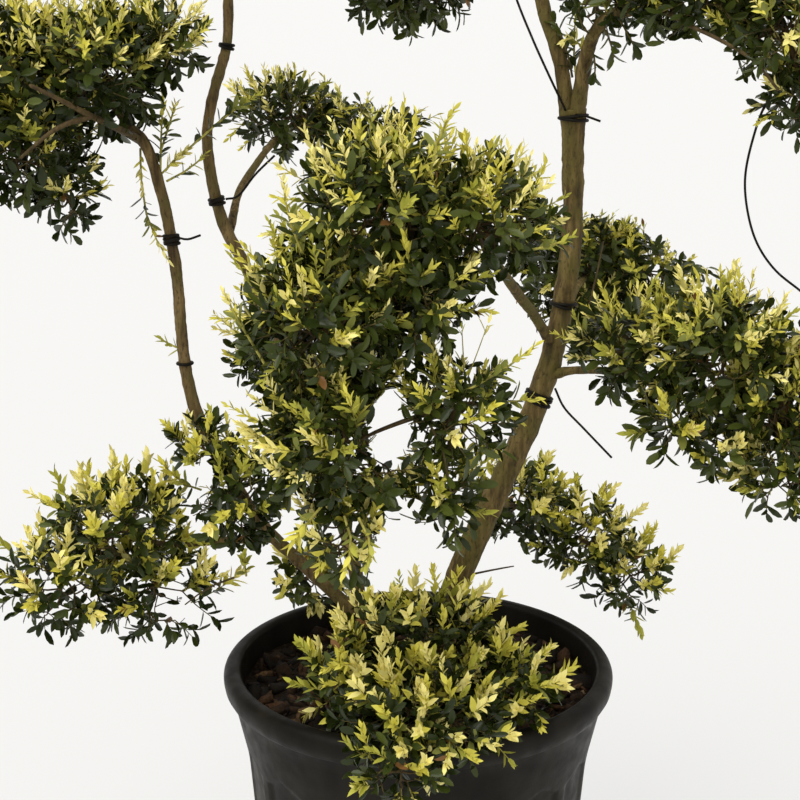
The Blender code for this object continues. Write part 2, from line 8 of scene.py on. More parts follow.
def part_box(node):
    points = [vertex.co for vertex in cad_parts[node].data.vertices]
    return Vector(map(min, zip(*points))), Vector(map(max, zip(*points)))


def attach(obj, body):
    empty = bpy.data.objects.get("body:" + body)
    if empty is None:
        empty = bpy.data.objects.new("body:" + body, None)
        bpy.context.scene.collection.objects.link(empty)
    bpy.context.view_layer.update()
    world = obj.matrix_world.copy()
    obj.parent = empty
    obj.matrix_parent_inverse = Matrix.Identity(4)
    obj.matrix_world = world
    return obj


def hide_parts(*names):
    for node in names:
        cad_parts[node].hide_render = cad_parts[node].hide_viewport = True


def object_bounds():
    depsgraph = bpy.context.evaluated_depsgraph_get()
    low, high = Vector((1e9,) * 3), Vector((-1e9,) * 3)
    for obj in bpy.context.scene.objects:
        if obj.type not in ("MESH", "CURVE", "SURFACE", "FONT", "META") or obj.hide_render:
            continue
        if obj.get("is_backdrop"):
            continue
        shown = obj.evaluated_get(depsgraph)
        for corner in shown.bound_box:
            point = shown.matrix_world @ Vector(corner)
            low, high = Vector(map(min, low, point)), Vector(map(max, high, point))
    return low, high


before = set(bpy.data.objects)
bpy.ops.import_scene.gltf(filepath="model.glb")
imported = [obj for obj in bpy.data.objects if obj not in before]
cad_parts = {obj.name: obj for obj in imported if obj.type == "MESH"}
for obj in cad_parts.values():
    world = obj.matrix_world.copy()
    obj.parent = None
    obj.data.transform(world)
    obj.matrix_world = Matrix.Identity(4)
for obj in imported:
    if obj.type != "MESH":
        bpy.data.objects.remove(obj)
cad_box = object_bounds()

bpy.ops.object.select_all(action="DESELECT")


# ------------------------------------------------------------------ nursery pot
# A heavy round container, injection moulded in black polypropylene and slightly scuffed.
# Its wall rises from a flat foot through broad shallow flutes with arched tops, flares out
# into a plain collar, and turns over into a thick rolled rim that people lift it by.

POT_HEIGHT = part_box("pot")[1].z
RIM_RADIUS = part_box("pot")[1].x
LIP_RADIUS = 0.200
RIM_FOOT = POT_HEIGHT - 0.029
COLLAR_FOOT = 0.270
COLLAR_FLARE = 0.148  # how much faster the radius grows with height there than in the body below
COLLAR_BEND = 0.015  # how far below and above the collar's foot the wall is still bending
BODY_RADIUS = 0.193
FOOT_RADIUS = 0.169
FOOT_BEVEL = 0.002
WALL = 0.004
# heights of the rings in the wall, close together round the flutes' tops and the bend
WALL_RINGS = (*np.linspace(0.010, 0.246, 12), *np.linspace(0.250, 0.292, 18), 0.308, 0.325)
POT_SIDES = 336
FLUTES = 16
FLUTE_TURN = math.radians(7.5)  # of the first rib between two flutes, from +X
FLUTE_DEPTH = 0.0036
FLUTE_STEPS = 6
FLUTE_FOOT = 0.016
FLUTE_TOP = 0.262  # where the arch springs from the ribs
ARCH_RISE = 0.027
FLUTE_SLOPE = 0.008  # along the height, from a flute's edge to its full depth
RIB_SHARE, SIDE_SHARE = 0.08, 0.36  # of the way from a rib's middle to a flute's: the flat, then the slope


def select_only(obj):
    bpy.ops.object.select_all(action="DESELECT")
    obj.select_set(True)
    bpy.context.view_layer.objects.active = obj


def arc(middle_radius, middle_height, radius, first, last, steps):
    """(radius, height) stations round an arc of the pot's section, with angles in degrees."""
    for step in range(steps + 1):
        angle = math.radians(first + (last - first) * step / steps)
        yield middle_radius + radius * math.cos(angle), middle_height + radius * math.sin(angle)


def wall_radius(height):
    """The outside's radius between foot and rim: an even taper that bends out into the collar."""
    bend = min(max(height - COLLAR_FOOT + COLLAR_BEND, 0), 2 * COLLAR_BEND)
    flare = bend * bend / (4 * COLLAR_BEND) + max(0, height - COLLAR_FOOT - COLLAR_BEND)
    low = FOOT_RADIUS + FOOT_BEVEL
    return low + (BODY_RADIUS - low) * height / COLLAR_FOOT + COLLAR_FLARE * flare


def pot_stations():
    """(radius, height) up the outside from the foot, over the rim and down the inside."""
    yield FOOT_RADIUS, FOOT_BEVEL
    for height in (*WALL_RINGS, RIM_FOOT - 0.003):
        yield wall_radius(height), height
    yield from arc(0.2114, RIM_FOOT + 0.0030, 0.0030, -100, -20, 4)
    yield RIM_RADIUS - 0.0013, RIM_FOOT + 0.0080
    yield RIM_RADIUS - 0.0002, RIM_FOOT + 0.0140
    yield from arc(RIM_RADIUS - 0.0110, POT_HEIGHT - 0.0110, 0.0110, 0, 90, 7)
    yield from arc(LIP_RADIUS + 0.0060, POT_HEIGHT - 0.0060, 0.0060, 90, 180, 5)
    yield LIP_RADIUS - 0.0040, RIM_FOOT
    yield BODY_RADIUS - WALL - 0.0025, COLLAR_FOOT - 0.004
    yield FOOT_RADIUS - WALL - 0.003, 0.012
    yield FOOT_RADIUS - WALL - 0.010, WALL


def across_flute(vertex):
    """0 on a rib between two flutes, 1 in a flute's middle."""
    turn = (math.atan2(vertex.co.y, vertex.co.x) - FLUTE_TURN) * FLUTES / (2 * math.pi)
    return 1 - 2 * abs(turn % 1 - 0.5)


bpy.ops.mesh.primitive_circle_add(vertices=POT_SIDES, radius=FOOT_RADIUS - FOOT_BEVEL, fill_type="NGON")
pot = bpy.context.object
pot.name = pot.data.name = "nursery_pot"
bpy.ops.object.mode_set(mode="EDIT")
bpy.ops.mesh.select_all(action="SELECT")
wide, high = FOOT_RADIUS - FOOT_BEVEL, 0.0
for next_wide, next_high in pot_stations():
    bpy.ops.mesh.extrude_region_move(TRANSFORM_OT_translate={"value": (0, 0, next_high - high)})
    bpy.ops.transform.resize(value=(next_wide / wide, next_wide / wide, 1), center_override=(0, 0, 0))
    wide, high = next_wide, next_high
bpy.ops.mesh.select_all(action="SELECT")
bpy.ops.mesh.normals_make_consistent(inside=False)

for flute_step in range(1, FLUTE_STEPS + 1):
    share = flute_step / FLUTE_STEPS
    depth = FLUTE_DEPTH * (math.cos(math.pi * (share - 1 / FLUTE_STEPS)) - math.cos(math.pi * share)) / 2
    bpy.ops.mesh.select_all(action="DESELECT")
    bpy.ops.object.mode_set(mode="OBJECT")
    for vertex in pot.data.vertices:
        outside = math.hypot(vertex.co.x, vertex.co.y) > wall_radius(vertex.co.z) - WALL / 2
        across = across_flute(vertex)
        foot = FLUTE_FOOT + FLUTE_SLOPE * share
        arch = FLUTE_TOP + ARCH_RISE * math.sqrt(across) - FLUTE_SLOPE * share
        vertex.select = outside and foot < vertex.co.z < arch and across > RIB_SHARE + SIDE_SHARE * share
    bpy.ops.object.mode_set(mode="EDIT")
    size = 1 - depth / BODY_RADIUS
    bpy.ops.transform.resize(value=(size, size, 1), center_override=(0, 0, 0))
bpy.ops.object.mode_set(mode="OBJECT")
bpy.ops.object.shade_smooth_by_angle(angle=math.radians(38))


class Finish:
    """A Principled material, built up from noises on a piece's own Object coordinates."""

    def __init__(self, name, roughness, specular):
        self.material = bpy.data.materials.new(name)
        self.material.use_nodes = True
        self.nodes = self.material.node_tree.nodes
        self.link = self.material.node_tree.links.new
        self.shader = self.nodes["Principled BSDF"].inputs
        self.shader["Roughness"].default_value = roughness
        self.shader["Specular IOR Level"].default_value = specular
        self.place = self.nodes.new("ShaderNodeTexCoord").outputs["Object"]

    def noise(self, scale, detail, stretch=(1, 1, 1)):
        """Fractal noise; a small stretch number draws it out that way."""
        mapping = self.nodes.new("ShaderNodeMapping")
        mapping.inputs["Scale"].default_value = stretch
        self.link(self.place, mapping.inputs["Vector"])
        texture = self.nodes.new("ShaderNodeTexNoise")
        texture.inputs["Scale"].default_value = scale
        texture.inputs["Detail"].default_value = detail
        self.link(mapping.outputs["Vector"], texture.inputs["Vector"])
        return texture.outputs["Fac"]

    def ramp(self, factor, *stops):
        """Colours at places from 0 to 1 along a factor."""
        ramp = self.nodes.new("ShaderNodeValToRGB")
        for _ in stops[2:]:
            ramp.color_ramp.elements.new(0.5)
        for element, (position, colour) in zip(ramp.color_ramp.elements, stops):
            element.position = position
            element.color = (*colour, 1)
        self.link(factor, ramp.inputs["Fac"])
        return ramp.outputs["Color"]

    def shades(self, factor, colour, *stops):
        """Shares of one colour at places along a factor."""
        return self.ramp(factor, *[(stop, tuple(share * part for part in colour)) for stop, share in stops])

    def overlay(self, base, factor, colour):
        """A colour laid over another where the factor is 1."""
        overlay = self.nodes.new("ShaderNodeMix")
        overlay.data_type = "RGBA"
        self.link(factor, overlay.inputs["Factor"])
        self.link(base, overlay.inputs["A"])
        overlay.inputs["B"].default_value = (*colour, 1)
        return overlay.outputs["Result"]

    def bump(self, height, distance):
        bump = self.nodes.new("ShaderNodeBump")
        bump.inputs["Distance"].default_value = distance
        self.link(height, bump.inputs["Height"])
        self.link(bump.outputs["Normal"], self.shader["Normal"])


WHITE = (1, 1, 1)
plastic = Finish("scuffed black plastic", 0.5, 0.10)
scuffs = plastic.noise(26, 6, (1, 1, 0.35))
colour = plastic.ramp(scuffs, (0.35, (0.0056, 0.0048, 0.0030)), (0.72, (0.016, 0.0132, 0.0085)))
plastic.link(colour, plastic.shader["Base Color"])
sheen = plastic.shades(plastic.noise(60, 5), WHITE, (0.3, 0.38), (0.75, 0.58))
plastic.link(sheen, plastic.shader["Roughness"])
plastic.bump(plastic.noise(420, 3), 0.00012)
pot.data.materials.append(plastic.material)
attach(pot, "root")
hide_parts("pot")


# ------------------------------------------------------------------ compost
# The pot is filled to two fingers' breadth under the rim with dark, damp bark compost.
# Coarse chips of pine bark lie on it at all angles, most dark brown and a few dry and pale.

SOIL_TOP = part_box("soil")[1].z
SOIL_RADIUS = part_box("soil")[1].x
SOIL_FOOT_RADIUS = FOOT_RADIUS - WALL - 0.012
SOIL_RINGS = 22
SOIL_LUMPS = 0.0045
LUMPS_PER_METRE = 22


def soil_height(x, y):
    """The compost's lumpy surface."""
    swell = noise.fractal(Vector((x * LUMPS_PER_METRE, y * LUMPS_PER_METRE, 3.1)), 1.0, 2.0, 4)
    return SOIL_TOP - SOIL_LUMPS + SOIL_LUMPS * swell


bpy.ops.mesh.primitive_circle_add(vertices=96, radius=SOIL_RADIUS, fill_type="NGON")
compost = bpy.context.object
compost.name = compost.data.name = "bark_compost"
bpy.ops.object.mode_set(mode="EDIT")
bpy.ops.mesh.select_all(action="SELECT")
bpy.ops.mesh.extrude_region_move(TRANSFORM_OT_translate={"value": (0, 0, SOIL_TOP)})
for ring in range(SOIL_RINGS):
    bpy.ops.mesh.inset(thickness=SOIL_RADIUS / (SOIL_RINGS + 1))
bpy.ops.mesh.select_all(action="SELECT")
bpy.ops.mesh.normals_make_consistent(inside=False)
bpy.ops.object.mode_set(mode="OBJECT")
foot_share = SOIL_FOOT_RADIUS / SOIL_RADIUS
for vertex in compost.data.vertices:
    if vertex.co.z > SOIL_TOP / 2:
        vertex.co.z = soil_height(vertex.co.x, vertex.co.y)
    else:
        vertex.co = (vertex.co.x * foot_share, vertex.co.y * foot_share, WALL + 0.0005)
bpy.ops.object.shade_smooth_by_angle(angle=math.radians(45))

earth = Finish("damp compost", 0.95, 0.15)
crumbs = earth.noise(190, 8)
colour = earth.ramp(crumbs, (0.36, (0.004, 0.0025, 0.0010)), (0.70, (0.026, 0.0145, 0.006)))
earth.link(colour, earth.shader["Base Color"])
earth.bump(crumbs, 0.004)
compost.data.materials.append(earth.material)
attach(compost, "root")
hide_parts("soil")

CHIPS = 1500
CHIP_LENGTHS = (0.005, 0.027)
CHIP_WIDTHS = (0.40, 0.40)  # as shares of the length: the least, and how much more there can be
CHIP_DEPTHS = (0.16, 0.24)
CHIP_RAGGED = 0.55  # how far a chip's corners are off a block's
CHIP_CLEAR = 0.012  # how far the chips keep from the pot's lip
CHIP_COLOURS = {
    "wet bark chip": (0.008, 0.0050, 0.0022),
    "brown bark chip": (0.025, 0.0130, 0.0052),
    "red-brown bark chip": (0.055, 0.026, 0.010),
    "dry bark chip": (0.105, 0.060, 0.027),
    "pale wood chip": (0.220, 0.150, 0.085),
}
CHIP_SHARES = (0.38, 0.32, 0.16, 0.12, 0.02)


def turned(angles):
    """Rotation matrices, shape (n, 3, 3), from angles about X, Y and Z, shape (n, 3)."""
    cos, sin = np.cos(angles), np.sin(angles)
    one, nil = np.ones(len(angles)), np.zeros(len(angles))
    about_x = np.stack([one, nil, nil, nil, cos[:, 0], -sin[:, 0], nil, sin[:, 0], cos[:, 0]], 1)
    about_y = np.stack([cos[:, 1], nil, sin[:, 1], nil, one, nil, -sin[:, 1], nil, cos[:, 1]], 1)
    about_z = np.stack([cos[:, 2], -sin[:, 2], nil, sin[:, 2], cos[:, 2], nil, nil, nil, one], 1)
    parts = [turn.reshape(-1, 3, 3) for turn in (about_z, about_y, about_x)]
    return parts[0] @ parts[1] @ parts[2]


def join_copies(name, places, pattern_faces, kinds, materials):
    """One mesh of many like shapes: places is (copies, corners, 3), and the faces are those of one copy."""
    copies, corners, _ = places.shape
    mesh = bpy.data.meshes.new(name)
    loops = np.array([corner for face in pattern_faces for corner in face])
    sizes = np.array([len(face) for face in pattern_faces])
    starts = np.concatenate([[0], np.cumsum(sizes)[:-1]])
    steps = np.arange(copies)[:, None]
    mesh.vertices.add(copies * corners)
    mesh.vertices.foreach_set("co", places.astype(np.float32).ravel())
    mesh.loops.add(copies * len(loops))
    mesh.loops.foreach_set("vertex_index", (loops[None] + steps * corners).astype(np.int32).ravel())
    mesh.polygons.add(copies * len(sizes))
    mesh.polygons.foreach_set("loop_start", (starts[None] + steps * len(loops)).astype(np.int32).ravel())
    for material in materials:
        mesh.materials.append(material)
    mesh.polygons.foreach_set("material_index", np.repeat(kinds, len(sizes)).astype(np.int32))
    mesh.update(calc_edges=True)
    mesh.validate()
    obj = bpy.data.objects.new(name, mesh)
    bpy.context.scene.collection.objects.link(obj)
    return obj


dice = np.random.default_rng(7)
spread = (LIP_RADIUS - CHIP_CLEAR) * np.sqrt(dice.random(CHIPS))
bearing = 2 * math.pi * dice.random(CHIPS)
feet = np.stack([spread * np.cos(bearing), spread * np.sin(bearing), np.zeros(CHIPS)], 1)
feet[:, 2] = [soil_height(x, y) + 0.0012 for x, y, _ in feet]
lengths = CHIP_LENGTHS[0] + (CHIP_LENGTHS[1] - CHIP_LENGTHS[0]) * dice.random(CHIPS) ** 2.6
widths = CHIP_WIDTHS[0] + CHIP_WIDTHS[1] * dice.random(CHIPS)
depths = CHIP_DEPTHS[0] + CHIP_DEPTHS[1] * dice.random(CHIPS)
chip_sizes = lengths[:, None] * np.stack([np.ones(CHIPS), widths, depths], 1)
block = np.array([(x, y, z) for z in (-0.5, 0.5) for y in (-0.5, 0.5) for x in (-0.5, 0.5)])
blocks = (block[None] * (1 + CHIP_RAGGED * (dice.random((CHIPS, 8, 3)) - 0.5))) * chip_sizes[:, None, :]
tilts = np.stack([0.55 * dice.standard_normal(CHIPS), 0.45 * dice.standard_normal(CHIPS), bearing * 7], 1)
chip_places = feet[:, None, :] + blocks @ turned(tilts).transpose(0, 2, 1)
BLOCK_FACES = [(0, 2, 3, 1), (4, 5, 7, 6), (0, 1, 5, 4), (2, 6, 7, 3), (0, 4, 6, 2), (1, 3, 7, 5)]
chip_materials = []
for chip_name, chip_colour in CHIP_COLOURS.items():
    bark = Finish(chip_name, 0.85, 0.2)
    grain = bark.noise(320, 5)
    bark.link(bark.shades(grain, chip_colour, (0.3, 0.45), (0.7, 1.45)), bark.shader["Base Color"])
    bark.bump(grain, 0.0008)
    chip_materials.append(bark.material)
chip_kinds = dice.choice(len(CHIP_SHARES), CHIPS, p=CHIP_SHARES)
chips = join_copies("bark_chips", chip_places, BLOCK_FACES, chip_kinds, chip_materials)
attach(chips, "root")


# ------------------------------------------------------------------ trunk, stems and boughs
# Three bare stems rise from the compost, the thick one leaning and bending back over the pot.
# Side boughs leave them at swollen collars and thin out towards the clouds of leaves.
# The living bark is olive-brown, streaked and finely fissured along the limb.

# name: (the limb it springs from, points from foot to tip, radius above the foot, radius at the tip)
LIMBS = {
    "trunk": (
        None,
        [(0.008, 0, 0.300), (0.036, 0, 0.440), (0.074, 0, 0.542), (0.113, 0, 0.630), (0.143, 0, 0.722),
         (0.158, 0, 0.810), (0.161, 0, 0.885), (0.159, 0, 0.985)],
        0.0160, 0.0100,
    ),
    "stem_middle": (
        None,
        [(-0.046, 0, 0.300), (-0.064, 0, 0.420), (-0.076, 0.008, 0.500), (-0.120, 0.030, 0.630),
         (-0.180, 0.050, 0.790), (-0.214, 0.050, 0.865), (-0.227, 0.050, 0.945), (-0.218, 0.050, 1.000),
         (-0.203, 0.050, 1.050), (-0.201, 0.050, 1.110), (-0.203, 0.050, 1.185)],
        0.0085, 0.0052,
    ),
    "stem_left": (
        "stem_middle",
        [(-0.064, 0, 0.420), (-0.132, -0.002, 0.489), (-0.168, -0.004, 0.527), (-0.205, -0.004, 0.585),
         (-0.240, 0, 0.655), (-0.253, 0, 0.721), (-0.257, 0, 0.800), (-0.266, 0, 0.875),
         (-0.282, -0.004, 0.942), (-0.300, -0.010, 0.968)],
        0.0074, 0.0058,
    ),
    "bough_apex": (
        "trunk",
        [(0.157, 0, 0.960), (0.144, 0.002, 1.035), (0.129, 0.010, 1.080), (0.117, 0.020, 1.130),
         (0.106, 0.018, 1.190), (0.100, 0.010, 1.250)],
        0.0082, 0.0062,
    ),
    "bough_top_right": (
        "trunk",
        [(0.161, 0, 0.965), (0.168, -0.020, 1.035), (0.175, -0.040, 1.064), (0.190, -0.058, 1.081),
         (0.214, -0.078, 1.088)],
        0.0080, 0.0062,
    ),
    "bough_top_back": (
        "bough_apex",
        [(0.114, 0.020, 1.150), (0.085, 0.075, 1.176), (0.058, 0.140, 1.178), (0.042, 0.195, 1.165)],
        0.0050, 0.0040,
    ),
    "bough_front_centre": (
        "trunk",
        [(0.144, 0, 0.733), (0.121, -0.035, 0.773), (0.098, -0.090, 0.808), (0.080, -0.145, 0.838),
         (0.068, -0.180, 0.855)],
        0.0056, 0.0046,
    ),
    "bough_right_mid": (
        "trunk",
        [(0.137, 0, 0.700), (0.165, -0.022, 0.712), (0.186, -0.048, 0.718), (0.200, -0.070, 0.722)],
        0.0046, 0.0038,
    ),
    "bough_right_back": (
        "trunk",
        [(0.150, 0, 0.752), (0.165, 0.050, 0.768), (0.178, 0.098, 0.778), (0.190, 0.140, 0.780)],
        0.0048, 0.0040,
    ),
    "bough_lower_right_back": (
        "trunk",
        [(0.074, 0, 0.545), (0.085, 0.060, 0.538), (0.098, 0.115, 0.520), (0.108, 0.160, 0.502)],
        0.0052, 0.0042,
    ),
    "bough_pot_front": (
        "trunk",
        [(0.018, 0, 0.372), (0.016, -0.030, 0.384), (0.010, -0.056, 0.398)],
        0.0064, 0.0050,
    ),
    "bough_behind_left": (
        "stem_middle",
        [(-0.206, 0.050, 0.845), (-0.200, 0.105, 0.885), (-0.182, 0.160, 0.915), (-0.168, 0.200, 0.932)],
        0.0046, 0.0038,
    ),
    "bough_back_middle": (
        "stem_middle",
        [(-0.112, 0.028, 0.608), (-0.122, 0.070, 0.632), (-0.130, 0.110, 0.652)],
        0.0046, 0.0038,
    ),
    "bough_lower_left": (
        "stem_left",
        [(-0.158, -0.004, 0.515), (-0.195, -0.018, 0.520), (-0.228, -0.030, 0.522), (-0.252, -0.037, 0.522)],
        0.0048, 0.0040,
    ),
    "bough_left_cluster": (
        "stem_left",
        [(-0.198, -0.004, 0.572), (-0.199, -0.020, 0.577)],
        0.0034, 0.0030,
    ),
    "bough_low_back": (
        "stem_middle",
        [(-0.060, 0, 0.392), (-0.078, 0.040, 0.408), (-0.096, 0.072, 0.416), (-0.106, 0.095, 0.419)],
        0.0036, 0.0030,
    ),
}
TRUNK_FLARE = 0.0055
STEM_FLARE = 0.0030
FLARE_HEIGHT = 0.028
FORK_SWELL = 0.0040
FORK_HEIGHT = 0.030
COLLAR_SWELL = 0.45  # a bough's foot is wider than its run by this share
COLLAR_LENGTH = 0.012
ROOT_LENGTH = 0.020  # over which a bough's foot, inside its parent, widens to its full girth


def smooth_path(points, spacing):
    """Points about `spacing` apart on a smooth curve through the given ones."""
    points = [Vector(point) for point in points]
    ends = [points[0] * 2 - points[1], *points, points[-1] * 2 - points[-2]]
    path = []
    for a, b, c, d in zip(ends, ends[1:], ends[2:], ends[3:]):
        count = max(1, round((c - b).length / spacing))
        for step in range(count):
            t = step / count
            square, cube = 2 * a - 5 * b + 4 * c - d, 3 * b - 3 * c + d - a
            path.append(0.5 * (2 * b + (c - a) * t + square * t**2 + cube * t**3))
    return [*path, points[-1]]


def run_lengths(path):
    """How far along the path each point is, in metres."""
    steps = [0.0]
    for first, second in zip(path, path[1:]):
        steps.append(steps[-1] + (second - first).length)
    return steps


def limb_radii(name, path):
    """Even taper, with a root flare on what stands in the compost and a swelling under the trunk's fork."""
    parent, _, foot_radius, tip_radius = LIMBS[name]
    runs = run_lengths(path)
    radii = []
    for point, run in zip(path, runs):
        radius = foot_radius + (tip_radius - foot_radius) * run / runs[-1]
        above = max(0, point.z - SOIL_TOP)
        if name == "trunk":
            radius += TRUNK_FLARE * math.exp(-above / FLARE_HEIGHT)
            radius += FORK_SWELL * math.exp(-(path[-1].z - point.z) / FORK_HEIGHT)
        if name == "stem_middle":
            radius += STEM_FLARE * math.exp(-above / FLARE_HEIGHT)
        radii.append(radius)
    return radii


def with_collar(name, path, radii):
    """A bough grows wider inside its parent and swells where it leaves the bark."""
    parent = LIMBS[name][0]
    if not parent:
        return radii
    buried = LIMBS[parent][3]
    collared = []
    for run, radius in zip(run_lengths(path), radii):
        clear = max(0, run - buried)
        widened = min(1, 0.5 + 0.5 * run / ROOT_LENGTH)
        collared.append(radius * widened * (1 + COLLAR_SWELL * math.exp(-clear / COLLAR_LENGTH)))
    return collared


def make_tube(name, path, radii, half_sides):
    """A closed tube with 4 + 2 * half_sides sides along a path."""
    curve = bpy.data.curves.new(name, "CURVE")
    curve.dimensions = "3D"
    curve.bevel_depth = 1.0
    curve.bevel_resolution = half_sides
    curve.use_fill_caps = True
    spline = curve.splines.new("POLY")
    spline.points.add(len(path) - 1)
    for corner, spot, radius in zip(spline.points, path, radii):
        corner.co = (*spot, 1)
        corner.radius = radius
    tube = bpy.data.objects.new(name, curve)
    bpy.context.scene.collection.objects.link(tube)
    select_only(tube)
    bpy.ops.object.convert(target="MESH")
    tube = bpy.context.object
    bpy.ops.object.mode_set(mode="EDIT")
    bpy.ops.mesh.select_all(action="SELECT")
    bpy.ops.mesh.remove_doubles(threshold=0.00001)
    bpy.ops.mesh.normals_make_consistent(inside=False)
    bpy.ops.object.mode_set(mode="OBJECT")
    return tube


def apply_modifier(obj, kind, **settings):
    select_only(obj)
    modifier = obj.modifiers.new("shape", kind)
    for key, value in settings.items():
        setattr(modifier, key, value)
    bpy.ops.object.modifier_apply(modifier=modifier.name)


LUMP_SHARE = 0.28  # of the limb's radius
FISSURE_WIDTH, FISSURE_LENGTH = 0.0042, 0.0300
FISSURE_DEPTH = 0.0009
FISSURE_SHARE = 0.045  # of the limb's radius, that the fissures are deeper by
lumps = bpy.data.textures.new("limb lumps", "CLOUDS")
lumps.noise_scale = 0.022
lumps.noise_depth = 2
fissures = bpy.data.textures.new("bark fissures", "CLOUDS")
fissures.noise_scale = 1.0
fissures.noise_depth = 3
fissures.contrast = 1.6


def raise_bark(limb, path, radius):
    """Lumps, and fissures drawn out along the limb."""
    apply_modifier(limb, "SUBSURF", levels=1, render_levels=1, subdivision_type="SIMPLE")
    apply_modifier(limb, "DISPLACE", texture=lumps, texture_coords="LOCAL", strength=LUMP_SHARE * radius)
    grain = bpy.data.objects.new("grain", None)
    bpy.context.scene.collection.objects.link(grain)
    heading = (path[-1] - path[0]).to_track_quat("Z", "Y").to_matrix().to_4x4()
    grain.matrix_world = heading @ Matrix.Diagonal((FISSURE_WIDTH, FISSURE_WIDTH, FISSURE_LENGTH, 1))
    bpy.context.view_layer.update()
    apply_modifier(
        limb, "DISPLACE", texture=fissures, texture_coords="OBJECT", texture_coords_object=grain,
        strength=FISSURE_DEPTH + FISSURE_SHARE * radius,
    )
    bpy.data.objects.remove(grain, do_unlink=True)


def bark_material(name, deep, main, light, moss):
    """Bark streaked along the limb, with mossy patches over it and small dark pits in it."""
    bark = Finish(name, 0.8, 0.3)
    streaked = bark.ramp(bark.noise(150, 8, (1, 1, 0.14)), (0.30, deep), (0.50, main), (0.72, light))
    patches = bark.shades(bark.noise(24, 5), WHITE, (0.45, 0), (0.66, 1))
    mossy = bark.overlay(streaked, patches, moss)
    pits = bark.shades(bark.noise(420, 6, (1, 1, 0.40)), WHITE, (0.30, 0.7), (0.46, 0))
    bark.link(bark.overlay(mossy, pits, deep), bark.shader["Base Color"])
    bark.bump(bark.noise(380, 8, (1, 1, 0.35)), 0.0018)
    return bark.material


trunk_bark = bark_material(
    "olive-brown bark", deep=(0.028, 0.017, 0.006), main=(0.122, 0.082, 0.024),
    light=(0.252, 0.180, 0.060), moss=(0.120, 0.098, 0.021),
)
stem_bark = bark_material(
    "grey-olive bark", deep=(0.034, 0.020, 0.008), main=(0.134, 0.088, 0.031),
    light=(0.262, 0.178, 0.070), moss=(0.122, 0.094, 0.026),
)
# name: (metres between a limb's rings, half sides); the boughs have the common detail
LIMB_DETAIL = {"trunk": (0.0025, 12), "stem_middle": (0.0030, 8), "stem_left": (0.0030, 8)}
COMMON_DETAIL = (0.0030, 5)
for limb_name, (parent, points, foot_radius, tip_radius) in LIMBS.items():
    spacing, half_sides = LIMB_DETAIL.get(limb_name, COMMON_DETAIL)
    path = smooth_path(points, spacing)
    radii = with_collar(limb_name, path, limb_radii(limb_name, path))
    limb = make_tube("bark_" + limb_name, path, radii, half_sides)
    raise_bark(limb, path, (foot_radius + tip_radius) / 2)
    bpy.ops.object.shade_smooth()
    limb.data.materials.clear()
    limb.data.materials.append(trunk_bark if "trunk" in (limb_name, parent) else stem_bark)
    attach(limb, "root")
    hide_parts(limb_name)


# ------------------------------------------------------------------ wood of the clouds
# Where a bough enters its cloud it breaks up into leaders, one to the middle of each clipped
# pad of leaves. Finer and finer twigs fork off them towards the outside, and each of the
# last ones carries short leafy shoots.

